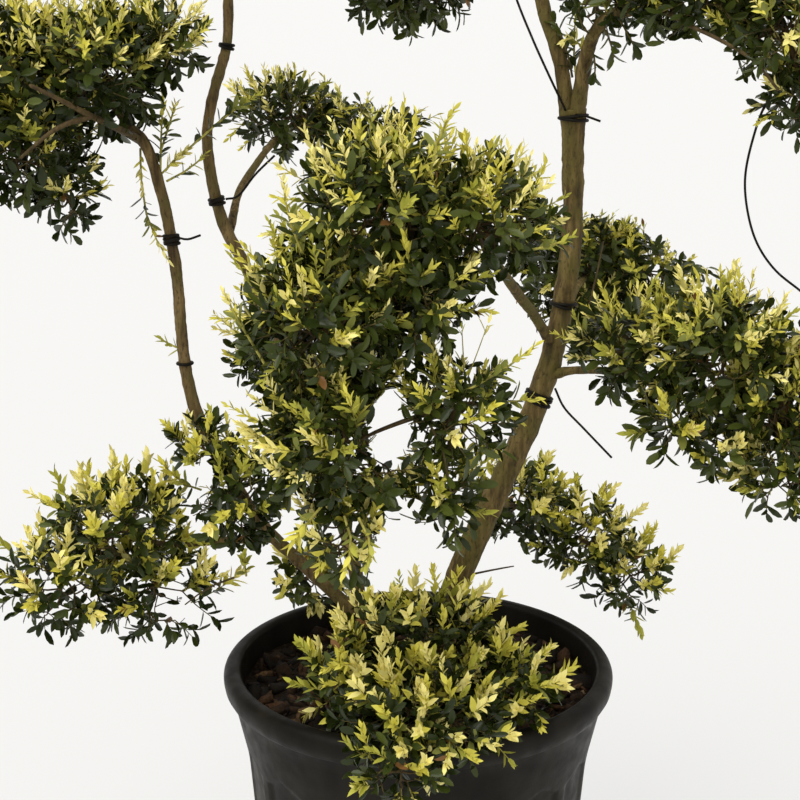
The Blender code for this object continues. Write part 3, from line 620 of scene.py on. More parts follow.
# name: (the limb whose tip it grows on, lobes as (middle, half-sizes))
CLOUDS = {
    "foliage_front_centre": (
        "bough_front_centre",
        [((0.049, -0.260, 0.902), (0.077, 0.080, 0.061)), ((-0.034, -0.280, 0.916), (0.086, 0.085, 0.067)),
         ((-0.010, -0.280, 0.838), (0.064, 0.085, 0.061)), ((-0.087, -0.290, 0.813), (0.082, 0.090, 0.083)),
         ((0.029, -0.300, 0.742), (0.059, 0.065, 0.052)), ((-0.070, -0.300, 0.705), (0.083, 0.085, 0.080)),
         ((0.018, -0.300, 0.658), (0.034, 0.040, 0.045)), ((-0.070, -0.300, 0.624), (0.042, 0.050, 0.049))],
    ),
    "foliage_top_left": (
        "stem_left",
        [((-0.330, -0.040, 1.022), (0.088, 0.100, 0.070)), ((-0.410, -0.050, 1.018), (0.082, 0.100, 0.070)),
         ((-0.395, -0.060, 0.949), (0.066, 0.080, 0.066)), ((-0.256, -0.040, 1.051), (0.046, 0.050, 0.039)),
         ((-0.357, -0.060, 0.898), (0.026, 0.035, 0.040)), ((-0.470, -0.050, 0.975), (0.060, 0.075, 0.062))],
    ),
    "foliage_left_crown": (
        "stem_middle",
        [((-0.212, 0.050, 1.245), (0.095, 0.095, 0.068)), ((-0.145, 0.090, 1.225), (0.062, 0.070, 0.050))],
    ),
    "foliage_behind_left": (
        "bough_behind_left",
        [((-0.158, 0.260, 0.955), (0.069, 0.070, 0.047)), ((-0.066, 0.280, 0.937), (0.085, 0.075, 0.050))],
    ),
    "foliage_top_back": (
        "bough_top_back",
        [((-0.011, 0.270, 1.132), (0.092, 0.100, 0.093))],
    ),
    "foliage_apex": (
        "bough_apex",
        [((0.080, 0.000, 1.330), (0.115, 0.110, 0.088)), ((0.165, 0.030, 1.300), (0.070, 0.080, 0.058)),
         ((-0.002, -0.030, 1.290), (0.066, 0.075, 0.054))],
    ),
    "foliage_top_right": (
        "bough_top_right",
        [((0.268, -0.120, 1.106), (0.081, 0.090, 0.060)), ((0.338, -0.150, 1.068), (0.065, 0.085, 0.060)),
         ((0.205, -0.110, 1.122), (0.043, 0.050, 0.034)), ((0.361, -0.150, 1.006), (0.038, 0.060, 0.043)),
         ((0.404, -0.140, 1.031), (0.047, 0.060, 0.059)), ((0.176, -0.020, 1.092), (0.030, 0.034, 0.036)),
         ((0.203, -0.074, 1.090), (0.034, 0.036, 0.020)), ((0.238, -0.104, 1.092), (0.034, 0.040, 0.020))],
    ),
    "foliage_right_mid": (
        "bough_right_mid",
        [((0.218, -0.130, 0.756), (0.073, 0.075, 0.049)), ((0.291, -0.160, 0.763), (0.076, 0.085, 0.062)),
         ((0.348, -0.160, 0.705), (0.061, 0.080, 0.063)), ((0.357, -0.160, 0.643), (0.042, 0.050, 0.053)),
         ((0.412, -0.150, 0.741), (0.055, 0.070, 0.061)), ((0.248, -0.160, 0.689), (0.037, 0.050, 0.028)),
         ((0.298, -0.160, 0.666), (0.026, 0.050, 0.031))],
    ),
    "foliage_right_back": (
        "bough_right_back",
        [((0.190, 0.210, 0.785), (0.082, 0.080, 0.082)), ((0.271, 0.200, 0.779), (0.078, 0.080, 0.059)),
         ((0.222, 0.220, 0.717), (0.073, 0.070, 0.058))],
    ),
    "foliage_lower_right_back": (
        "bough_lower_right_back",
        [((0.129, 0.220, 0.481), (0.070, 0.065, 0.062)), ((0.212, 0.250, 0.424), (0.066, 0.065, 0.061)),
         ((0.276, 0.260, 0.373), (0.057, 0.055, 0.056))],
    ),
    "foliage_back_middle": (
        "bough_back_middle",
        [((-0.141, 0.200, 0.684), (0.087, 0.080, 0.082)), ((-0.069, 0.240, 0.737), (0.085, 0.075, 0.076))],
    ),
    "foliage_lower_left": (
        "bough_lower_left",
        [((-0.321, -0.050, 0.542), (0.084, 0.080, 0.060)), ((-0.385, -0.060, 0.480), (0.069, 0.070, 0.062)),
         ((-0.288, -0.040, 0.464), (0.074, 0.075, 0.059))],
    ),
    "foliage_left_cluster": (
        "bough_left_cluster",
        [((-0.195, -0.064, 0.579), (0.053, 0.052, 0.059)), ((-0.226, -0.050, 0.631), (0.040, 0.040, 0.033))],
    ),
    "foliage_pot_front": (
        "bough_pot_front",
        [((0.001, -0.120, 0.428), (0.097, 0.075, 0.063)), ((0.005, -0.205, 0.395), (0.099, 0.070, 0.058)),
         ((0.096, -0.140, 0.397), (0.052, 0.060, 0.050)), ((-0.078, -0.130, 0.393), (0.044, 0.055, 0.052)),
         ((-0.020, -0.262, 0.368), (0.053, 0.034, 0.034))],
    ),
    "foliage_low_back": (
        "bough_low_back",
        [((-0.129, 0.130, 0.422), (0.051, 0.042, 0.034))],
    ),
}
# how deep the twigs of each order end (0 is a lobe's middle, 1 its surface), how many there are
# for each square metre of the lobe, and their radii at the foot and at the tip
TWIG_ORDERS = (
    (0.28, 200, 0.0015, 0.0011),
    (0.44, 430, 0.0012, 0.0009),
    (0.58, 640, 0.0009, 0.0007),
)
TWIG_SIDES = (4, 4, 3)
# clouds with fewer or more twigs than that
THICK = {"foliage_lower_left": 0.62, "foliage_lower_right_back": 0.80, "foliage_left_cluster": 1.30}
# open places in and round the clouds, where light or a limb shows between the leaves: (middle, half-sizes)
GAPS = [
    ((0.068, -0.300, 0.801), (0.044, 0.160, 0.020)), ((-0.031, -0.300, 0.721), (0.017, 0.160, 0.033)),
    ((-0.016, -0.300, 0.604), (0.029, 0.160, 0.043)), ((-0.270, -0.050, 0.458), (0.014, 0.120, 0.010)),
    ((-0.242, -0.050, 0.603), (0.026, 0.120, 0.020)), ((-0.286, -0.190, 0.985), (0.018, 0.080, 0.011)),
    ((-0.317, -0.200, 1.002), (0.022, 0.080, 0.010)), ((-0.348, -0.210, 1.017), (0.020, 0.080, 0.010)),
    ((-0.339, -0.200, 0.981), (0.022, 0.080, 0.010)), ((-0.368, -0.200, 0.957), (0.017, 0.080, 0.009)),
    ((0.240, -0.120, 1.018), (0.062, 0.160, 0.040)), ((0.370, 0.210, 0.885), (0.130, 0.130, 0.100)),
    ((0.190, 0.210, 0.910), (0.130, 0.130, 0.065)), ((0.020, 0.280, 0.996), (0.130, 0.120, 0.036)),
]
# leaders that show between the leaves: (radius at the foot, radius at the tip, points)
BARE_LEADERS = {
    "foliage_top_left": [
        (0.0050, 0.0020, [(-0.290, -0.008, 0.954), (-0.301, -0.070, 0.971), (-0.319, -0.110, 0.986),
                          (-0.345, -0.130, 1.003), (-0.370, -0.140, 1.017)]),
        (0.0034, 0.0016, [(-0.319, -0.110, 0.986), (-0.351, -0.130, 0.975), (-0.386, -0.130, 0.948)]),
    ],
    "foliage_top_right": [
        (0.0028, 0.0014, [(0.213, -0.080, 1.090), (0.229, -0.140, 1.084), (0.244, -0.170, 1.074),
                          (0.270, -0.190, 1.061), (0.301, -0.200, 1.042), (0.326, -0.190, 1.016)]),
    ],
}
BURIED = 0.80  # a twig that would end deeper than this share of its own depth in another lobe is left out
UNEVEN = 0.13  # how far the pads' skin swells and sinks, as a share of its depth
RAGGED = 0.16  # how unevenly deep the twigs of one order end
WANDER = 0.07  # how far a twig's bend strays and sinks, as a share of its length
REACH = 1.03  # how deep in its own lobes a twig's point may lie, 1 on their skin
OTHERS = 1.00  # and in another cloud's lobes at least
CLEAR = 0.0020  # the least air to a limb, the pot or the compost
LIP_CLEAR = 0.008  # and to the pot's lip, inside the pot
BEYOND = np.array((0.030, 0.024, 0.040))  # how far the longest shoots may stand out of the whole plant's box
LOWEST, HIGHEST = np.array(cad_box[0]) - BEYOND, np.array(cad_box[1]) + BEYOND
GOLDEN_ANGLE = math.pi * (3 - math.sqrt(5))


def spread_directions(count, turn):
    """Unit vectors spread evenly over a sphere by the golden angle, shape (count, 3)."""
    steps = np.arange(count)
    height = 1 - (2 * steps + 1) / count
    flat = np.sqrt(1 - height * height)
    angle = steps * GOLDEN_ANGLE + turn
    return np.stack([flat * np.cos(angle), flat * np.sin(angle), height], 1)


def lobe_area(sizes):
    """Near enough the area of an ellipsoid."""
    a, b, c = (size**1.6 for size in sizes)
    return 4 * math.pi * ((a * b + a * c + b * c) / 3) ** (1 / 1.6)


def depths_in(points, lobes):
    """How deep each point lies in each lobe, shape (lobes, points): 0 in the middle, 1 on the surface."""
    return np.stack([
        np.linalg.norm((points - np.array(middle)) / np.array(sizes), axis=1) for middle, sizes in lobes
    ])


def unevenness(points):
    """A smooth swell from -1 to 1 that runs through the whole plant."""
    x, y, z = points.T
    wave = np.sin(61 * x + 3 * np.sin(37 * z + 1)) + np.sin(57 * y + 3 * np.sin(41 * x + 2))
    return (wave + np.sin(66 * z + 3 * np.sin(35 * y + 3))) / 3


limb_balls = []
for limb_name, (_, points, _, _) in LIMBS.items():
    path = smooth_path(points, 0.006)
    limb_balls += zip(path, limb_radii(limb_name, path))
limb_tree = kdtree.KDTree(len(limb_balls))
for ball_number, (spot, _) in enumerate(limb_balls):
    limb_tree.insert(spot, ball_number)
limb_tree.balance()


def clear_of_limbs(point, margin):
    """Whether a point keeps the margin to the nearest limb's surface."""
    _, ball_number, distance = limb_tree.find(point)
    return distance > limb_balls[ball_number][1] + margin


class Room:
    """The space that one cloud keeps to."""

    def __init__(self, name):
        self.own = CLOUDS[name][1]
        self.others = [lobe for other, (_, lobes) in CLOUDS.items() if other != name for lobe in lobes]

    def holds(self, points, reach, margin):
        """Which of the points lie within reach and clear of other clouds, limbs, pot and compost."""
        radius = np.hypot(points[:, 0], points[:, 1])
        low = points[:, 2] < POT_HEIGHT + CLEAR
        in_compost = points[:, 2] < SOIL_TOP + CLEAR
        inner = np.where(in_compost, 0, LIP_RADIUS - LIP_CLEAR)
        free = ~(low & (radius > inner) & (radius < RIM_RADIUS + CLEAR))
        free &= depths_in(points, self.own).min(0) <= reach
        free &= depths_in(points, self.others).min(0) >= OTHERS
        free &= depths_in(points, GAPS).min(0) >= 1
        free &= ((points > LOWEST) & (points < HIGHEST)).all(1)
        for number in np.flatnonzero(free):
            free[number] = clear_of_limbs(points[number], margin)
        return free


def grow_leaders(foot, heading, lobes):
    """Paths that join the stem's foot to each lobe's middle, each from the nearest grown point."""
    grown = [foot]
    leaders = []
    for number, (middle, _) in enumerate(lobes):
        hub = Vector(middle)
        start = min(grown, key=lambda point: (point - hub).length)
        reach = (hub - start).length
        if number == 0:
            bend = start + heading * reach * 0.45
        else:
            bend = start.lerp(hub, 0.5) + Vector((0, 0, reach * 0.10))
        leaders.append([start, start.lerp(bend, 0.55), bend.lerp(hub, 0.45), hub])
        grown = [*grown[number == 0:], bend.lerp(hub, 0.45), hub]
    return leaders


def grow_wood(name, number, room, dice):
    """The cloud's wood: (points, radii) for each leader, and an array of points for each order of twigs."""
    bough, lobes = CLOUDS[name]
    limb = smooth_path(LIMBS[bough][1], 0.04)
    heading = (limb[-1] - limb[-2]).normalized()
    leaders = []
    grown = []
    for order, corners in enumerate(grow_leaders(limb[-1] - heading * 0.004, heading, lobes)):
        path = smooth_path(corners, 0.009)
        wide = LIMBS[bough][3] * (0.98 if order == 0 else 0.70)
        leaders.append((path, [wide * (1 - 0.62 * step / (len(path) - 1)) for step in range(len(path))]))
        grown += path[len(path) // 3 if order == 0 else 1:]
    for wide, thin, points in BARE_LEADERS.get(name, []):
        path = smooth_path(points, 0.006)
        leaders.append((path, list(np.linspace(wide, thin, len(path)))))
    orders = []
    for depth, per_m2, _, _ in TWIG_ORDERS:
        tree = kdtree.KDTree(len(grown))
        for step, spot in enumerate(grown):
            tree.insert(spot, step)
        tree.balance()
        twigs = []
        for lobe_number, (middle, sizes) in enumerate(lobes):
            turn = 2.4 * lobe_number + 0.9 * number + depth * 10
            ways = spread_directions(max(6, round(lobe_area(sizes) * per_m2 * THICK.get(name, 1))), turn)
            skin = np.array(middle) + ways * np.array(sizes)
            deep = depth * (1 + UNEVEN * unevenness(skin) + RAGGED * (dice.random(len(ways)) - 0.5))
            ends = np.array(middle) + ways * deep[:, None] * np.array(sizes)
            others = [lobe for lobe in lobes if lobe[0] != middle]
            if others:
                ends = ends[depths_in(ends, others).min(0) > BURIED * depth]
            for end in ends[room.holds(ends, REACH, CLEAR)]:
                end = Vector(end)
                start = tree.find(end)[0]
                reach = (end - start).length
                wander = Vector(dice.standard_normal(3)) * WANDER * reach
                bend = start.lerp(end, 0.5) + wander + Vector((0, 0, -WANDER * reach))
                twigs.append([start, start.lerp(bend, 0.55), bend.lerp(end, 0.45), end])
        twigs = np.array([[tuple(spot) for spot in twig] for twig in twigs])
        orders.append(twigs[room.holds(twigs[:, 2], REACH, CLEAR)])
        for twig in orders[-1]:
            grown += [Vector(twig[2]), Vector(twig[3])]
    return leaders, orders


def rings(paths, radii, sides):
    """Corners of tubes round many paths, shape (paths, stations * sides + 1, 3): each ends in a point."""
    count, stations, _ = paths.shape
    along = np.gradient(paths, axis=1)
    along /= np.linalg.norm(along, axis=2, keepdims=True) + 1e-12
    aside = np.cross(along, np.array([0.31, 0.84, 0.45]))
    aside /= np.linalg.norm(aside, axis=2, keepdims=True) + 1e-12
    across = np.cross(along, aside)
    angles = 2 * math.pi * np.arange(sides) / sides
    ring = aside[:, :, None] * np.cos(angles)[None, None, :, None]
    ring = ring + across[:, :, None] * np.sin(angles)[None, None, :, None]
    corners = paths[:, :, None] + ring * radii[..., None, None]
    corners = corners.reshape(count, stations * sides, 3)
    point = paths[:, -1] + along[:, -1] * radii[..., -1][..., None]
    return np.concatenate([corners, point[:, None]], 1)


def ring_faces(stations, sides):
    """The faces of one such tube, open at its buried foot."""
    faces = []
    for station in range(stations - 1):
        for side in range(sides):
            following = (side + 1) % sides
            base = station * sides
            faces.append((base + side, base + following, base + sides + following, base + sides + side))
    last = (stations - 1) * sides
    return faces + [(last + side, last + (side + 1) % sides, stations * sides) for side in range(sides)]


# ------------------------------------------------------------------ leaves
# Small evergreen holly leaves stand by turns round each shoot: old ones leathery, glossy and
# nearly black-green, and the spring flush at the shoot's end soft, narrow and yellow-green.
# Each leaf is a thin blade folded up along its midrib, with its tip curled back.

INTERNODES = (0.0046, 0.0034)  # between leaves on old shoots and on plumes
OLD_LEAF = (0.0178, 0.0071)  # length and width
FLUSH_LEAF = (0.0116, 0.0040)
SHADE_LEAF = (0.0148, 0.0062)  # the flush low down on the plant, where it is longer and broader
SHADE_HEIGHTS = (0.620, 0.780)  # all shade below, none above
OLD_LEAN = (60, 22)  # degrees off the shoot at its foot, and how much less at its tip
FLUSH_LEAN = (58, 36)
LEAN_SPREAD = 8
SHOOT_LENGTHS = (0.016, 0.048)
SHOOTS_ON_TWIG = {1: 1, 2: 2}  # for each order of twigs that carries them
SHOOT_INSET = 0.009  # how far under the pad's skin an old shoot ends
PLUME_LENGTHS = (0.030, 0.090)
PLUME_STANDS = (-0.008, 0.024)  # how far a plume's tip stands out of the pad
PLUMES_ON_TWIG = 0.74
FLUSH_RUN = 0.033  # how much of a plume is in flush, from its tip
TURNING_SHARE = 0.35  # of that run, over which the leaves below it are turning
WITHERED_SHARE = 0.004
# how much flush a cloud has, and how far it keeps to the upper side
FLUSH = {
    "foliage_pot_front": (0.76, 0.5), "foliage_front_centre": (1.16, 0.95), "foliage_lower_left": (1.20, 1.1),
    "foliage_top_left": (1.90, 1.5), "foliage_right_mid": (1.40, 0.9), "foliage_top_right": (1.40, 1.0),
    "foliage_left_cluster": (0.55, 0.9), "foliage_low_back": (1.60, 0.6),
    "foliage_lower_right_back": (1.25, 0.9),
}
COMMON_FLUSH = (0.9, 1.1)
LEAF_COLOURS = {
    "old leaf deep": (0.022, 0.032, 0.006),
    "old leaf dark": (0.040, 0.055, 0.009),
    "old leaf green": (0.074, 0.093, 0.016),
    "turning leaf": (0.220, 0.235, 0.045),
    # the flush is yellow-green of its own, and these colours are made brighter still as painted light: the
    # glow of light shining through the thin young leaves
    "flush green": (0.460, 0.452, 0.064),
    "flush yellow-green": (0.730, 0.665, 0.105),
    "flush yellow": (0.930, 0.840, 0.300),
    "withered leaf": (0.230, 0.110, 0.030),
}
# places in that list, and how often each comes up on old shoots, on those of clouds that lie in shade
# (darker, as painted shade), and in flush
OLD_KINDS = (0, 1, 2)
OLD_SHARES = (0.34, 0.42, 0.24)
# painted shade: the old leaves of clouds that lie under other masses are dealt the darker colours to stand
# for the shade there
PAINTED_SHADE_SHARES = (0.70, 0.25, 0.05)
SHADED = ("foliage_pot_front", "foliage_top_left", "foliage_lower_left", "foliage_left_cluster")
TURNING, WITHERED = 3, 7
FLUSH_KINDS = (4, 5, 6)
FLUSH_SHARES = (0.18, 0.37, 0.45)
# root, three corners up one edge, mid-rib, three up the other edge, and tip
LEAF_FACES = [(0, 4, 1), (1, 4, 2), (2, 4, 3), (3, 4, 8), (0, 5, 4), (5, 6, 4), (6, 7, 4), (7, 8, 4)]

leaf_materials = []
for leaf_name, leaf_colour in LEAF_COLOURS.items():
    blade = Finish(leaf_name, 0.27 if leaf_name.startswith("old") else 0.50, 0.24)
    blade.shader["Base Color"].default_value = (*leaf_colour, 1)
    leaf_materials.append(blade.material)

WOOD_COLOURS = {
    "brown twig": (0.092, 0.062, 0.024),
    "old shoot": (0.125, 0.098, 0.032),
    "flush shoot": (0.420, 0.380, 0.080),
}
TWIG_WOOD, OLD_WOOD, FLUSH_WOOD = 0, 1, 2
wood_materials = []
for wood_name, wood_colour in WOOD_COLOURS.items():
    wood = Finish(wood_name, 0.7, 0.2)
    grain = wood.noise(260, 5, (1, 1, 0.3))
    wood.link(wood.shades(grain, wood_colour, (0.35, 0.55), (0.68, 1.35)), wood.shader["Base Color"])
    wood_materials.append(wood.material)


def unit(vectors):
    return vectors / (np.linalg.norm(vectors, axis=-1, keepdims=True) + 1e-12)


def outwards_from(points, lobes):
    """The way out of the cloud at each point, and how far it is to the pad's uneven skin."""
    deep = depths_in(points, lobes)
    nearest = deep.argmin(0)
    middles = np.array([middle for middle, _ in lobes])[nearest]
    sizes = np.array([sizes for _, sizes in lobes])[nearest]
    skin = 1 + UNEVEN * unevenness(points)
    gap = np.linalg.norm(points - middles, axis=1) * (skin / np.maximum(deep.min(0), 0.05) - 1)
    return unit((points - middles) / sizes**2), gap


def within(feet, ways, lengths, room, reach):
    """Lengths shortened until the tips lie in the cloud's room, and which of the shoots then do."""
    for _ in range(3):
        held = room.holds(feet + ways * lengths[:, None], reach, CLEAR)
        lengths = np.where(held, lengths, lengths * 0.72)
    return lengths, room.holds(feet + ways * lengths[:, None], reach, CLEAR)


def grow_old_shoots(orders, room, dice):
    """Short shoots of old leaves that fill the pad: feet, ways, bows and lengths."""
    feet = []
    for order, count in SHOOTS_ON_TWIG.items():
        foot, tip = orders[order][:, 2], orders[order][:, 3]
        for step in range(count):
            share = 1.0 if step == 0 else 0.1 + 0.7 * dice.random((len(foot), 1))
            feet.append(foot + (tip - foot) * share)
    feet = np.concatenate(feet)
    out, gap = outwards_from(feet, room.own)
    ways = 0.80 * out + 0.50 * dice.standard_normal(out.shape)
    ways[:, 2] += 0.25
    ways = unit(ways)
    bows = 0.10 * dice.standard_normal(out.shape)
    lengths = np.clip(gap - SHOOT_INSET + 0.006 * dice.standard_normal(len(feet)), *SHOOT_LENGTHS)
    lengths, kept = within(feet, ways + bows, lengths, room, 1.05)
    return feet[kept], ways[kept], bows[kept], lengths[kept]


def grow_plumes(name, orders, room, dice):
    """Long shoots that end in the flush and stand out of the pad: feet, ways, bows and lengths."""
    amount, upper = FLUSH.get(name, COMMON_FLUSH)
    feet = np.concatenate([orders[1][:, 3], orders[2][:, 2], orders[2][:, 3]])
    out, gap = outwards_from(feet, room.own)
    chance = PLUMES_ON_TWIG * amount * np.clip(1 - upper * (0.35 - out[:, 2]), 0.04, 1.6)
    chosen = dice.random(len(feet)) < chance
    feet, out, gap = feet[chosen], out[chosen], gap[chosen]
    ways = 0.85 * out + 0.28 * dice.standard_normal(out.shape)
    ways[:, 2] += 0.34
    ways = unit(ways)
    bows = 0.08 * dice.standard_normal(out.shape)
    bows[:, 2] += 0.10 * np.sign(ways[:, 2] + 0.2)
    low, high = PLUME_STANDS
    lengths = np.clip(gap + low + (high - low) * dice.random(len(feet)), *PLUME_LENGTHS)
    lengths, kept = within(feet, ways + bows, lengths, room, 1.45)
    return feet[kept], ways[kept], bows[kept], lengths[kept]


def grow_leaves(feet, ways, bows, lengths, flush, old_shares, dice):
    """For each leaf its root, the ways of its blade and its face, length, width, curl, youth and kind."""
    counts = np.maximum(4, np.round(lengths / np.where(flush, INTERNODES[1], INTERNODES[0]))).astype(int)
    shoot = np.repeat(np.arange(len(feet)), counts)
    rank = np.concatenate([np.arange(count) for count in counts])
    many = len(rank)
    share = ((rank + 0.8) / counts[shoot]) ** np.where(flush, 0.72, 0.9)[shoot]
    bow = bows[shoot] * share[:, None]
    axis = unit(ways[shoot] + 2 * bow)
    roots = feet[shoot] + (ways[shoot] + bow) * (lengths[shoot] * share)[:, None]
    aside = unit(np.cross(axis, np.array([0.37, -0.22, 0.90])))
    across = np.cross(axis, aside)
    turn = shoot * 1.7 + rank * GOLDEN_ANGLE + 0.30 * dice.standard_normal(many)
    side = aside * np.cos(turn)[:, None] + across * np.sin(turn)[:, None]
    run = FLUSH_RUN * (0.7 + 0.6 * dice.random(len(feet)))[shoot]
    youth = 1 - (1 - share) * lengths[shoot] / run  # 1 at the tip of a plume, 0 where its flush begins
    young = flush[shoot] & (youth > 0)
    lean = np.where(young, FLUSH_LEAN[0] - FLUSH_LEAN[1] * youth, OLD_LEAN[0] - OLD_LEAN[1] * share)
    lean = np.radians(lean + LEAN_SPREAD * dice.standard_normal(many))
    blade = axis * np.cos(lean)[:, None] + side * np.sin(lean)[:, None]
    face = axis * np.sin(lean)[:, None] - side * np.cos(lean)[:, None]
    lift = np.array([0, 0, 1.0]) - blade * blade[:, 2:]
    face = face + np.where(young, 0.12, 0.36)[:, None] * lift + 0.16 * dice.standard_normal((many, 3))
    face = unit(face - blade * (face * blade).sum(1, keepdims=True))
    sunny = np.interp(roots[:, 2], SHADE_HEIGHTS, (0, 1))
    long = SHADE_LEAF[0] + (FLUSH_LEAF[0] - SHADE_LEAF[0]) * sunny
    wide = SHADE_LEAF[1] + (FLUSH_LEAF[1] - SHADE_LEAF[1]) * sunny
    spray = (0.84 + 0.40 * dice.random(len(feet)))[shoot] * (1.06 - 0.36 * youth**2)
    scale = np.where(young, spray, 1) * (1 + 0.13 * dice.standard_normal(many)).clip(0.65, 1.3)
    size = scale * np.where(young, long, OLD_LEAF[0])
    wide = scale * np.where(young, wide, OLD_LEAF[1]) * (0.88 + 0.24 * dice.random(many))
    curl = np.where(young, 0.02, 0.10) + 0.06 * dice.standard_normal(many)
    old_kind = dice.choice(OLD_KINDS, len(feet), p=old_shares)[shoot]
    flush_kind = dice.choice(FLUSH_KINDS, len(feet), p=FLUSH_SHARES)[shoot]
    flush_kind = np.where(youth < 0.30, np.maximum(flush_kind - 1, FLUSH_KINDS[0]), flush_kind)
    kind = np.where(young, flush_kind, old_kind)
    kind = np.where(flush[shoot] & ~young & (youth > -TURNING_SHARE), TURNING, kind)
    kind = np.where(dice.random(many) < WITHERED_SHARE, WITHERED, kind)
    return roots, blade, face, size, wide, curl, young, kind


def leaf_corners(roots, blade, face, size, wide, curl, young):
    """The nine corners of each leaf, in the order that LEAF_FACES has them."""
    side = np.cross(blade, face)
    fold = 0.16 * wide
    bend = curl * size

    def at(along, across, lift):
        return (
            roots + blade * (along * size)[:, None] + side * (across * wide)[:, None]
            + face * (lift * fold - along**2 * bend)[:, None]
        )

    # the old blade is widest past its middle and blunt, the young one widest below it and pointed
    edge = [
        (np.where(young, 0.20, 0.24), np.where(young, 0.38, 0.34)),
        (np.where(young, 0.46, 0.56), 0.50),
        (np.where(young, 0.74, 0.84), np.where(young, 0.32, 0.36)),
    ]
    return np.stack([
        at(0, 0, 0),
        *[at(along, -across, 1) for along, across in edge],
        at(0.52, 0, 0),
        *[at(along, across, 1) for along, across in edge],
        at(1, 0, 0.2),
    ], 1)


SHOOT_RADIUS = 0.0008


def shoot_wood(feet, ways, bows, lengths, thick):
    """Paths and radii of the shoots' own wood."""
    stations = np.array([-0.04, 0.35, 0.70, 0.97])
    runs = (lengths[:, None] * stations)[..., None]
    paths = feet[:, None] + (ways[:, None] + bows[:, None] * stations[:, None]) * runs
    return paths, np.tile(thick * np.array([1.0, 0.87, 0.75, 0.56]), (len(feet), 1))


def join_pieces(pieces, name):
    """One smooth piece of several objects."""
    bpy.ops.object.select_all(action="DESELECT")
    for piece in pieces:
        piece.select_set(True)
    bpy.context.view_layer.objects.active = pieces[0]
    bpy.ops.object.join()
    joined = bpy.context.object
    joined.name = joined.data.name = name
    bpy.ops.object.shade_smooth()
    return joined


def dress_cloud(name, number):
    """All the wood and leaves of one cloud, as two pieces."""
    plain_name = name.removeprefix("foliage_")
    dice = np.random.default_rng(100 + number)
    room = Room(name)
    leaders, orders = grow_wood(name, number, room, dice)
    old = grow_old_shoots(orders, room, dice)
    plumes = grow_plumes(name, orders, room, dice)
    feet, ways, bows, lengths = (np.concatenate(both) for both in zip(old, plumes))
    flush = np.arange(len(feet)) >= len(old[0])
    # clouds in shade take the darker shares, as painted shade
    old_shares = PAINTED_SHADE_SHARES if name in SHADED else OLD_SHARES
    roots, blade, face, size, wide, curl, young, kind = grow_leaves(
        feet, ways, bows, lengths, flush, old_shares, dice
    )
    tips = roots + blade * size[:, None]
    kept = room.holds(tips, 1.60, 0.0012) & room.holds((roots + tips) / 2, 1.60, 0.0012)
    corners = leaf_corners(roots, blade, face, size, wide, curl, young)[kept]
    leaves = join_copies("leaves_" + plain_name, corners, LEAF_FACES, kind[kept], leaf_materials)
    leaves.data.shade_smooth()

    woods = []
    for path, radii in leaders:
        points = np.array([[tuple(spot) for spot in path]])
        woods.append(("leader", points, np.array([radii]), 5, np.full(1, TWIG_WOOD)))
    for (_, _, thick, thin), sides, twigs in zip(TWIG_ORDERS, TWIG_SIDES, orders):
        radii = np.tile(np.linspace(thick, thin, 4), (len(twigs), 1))
        woods.append(("twig", twigs, radii, sides, np.full(len(twigs), TWIG_WOOD)))
    shoots = shoot_wood(feet, ways, bows, lengths, SHOOT_RADIUS)
    woods.append(("shoot", *shoots, 3, np.where(flush, FLUSH_WOOD, OLD_WOOD)))
    pieces = []
    for label, paths, radii, sides, kinds in woods:
        faces = ring_faces(paths.shape[1], sides)
        pieces.append(join_copies(label, rings(paths, radii, sides), faces, kinds, wood_materials))
    twigs = join_pieces(pieces, "twigs_" + plain_name)
    for piece in (leaves, twigs):
        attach(piece, "root")
    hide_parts(name)


for cloud_number, cloud_name in enumerate(CLOUDS):
    dress_cloud(cloud_name, cloud_number)


# ------------------------------------------------------------------ side shoots
# Young shoots that spring straight from the bark of the limbs, or have grown out past the
# clipped pads since the last shearing. Most are leafy in the flush's colours, a few are bare.

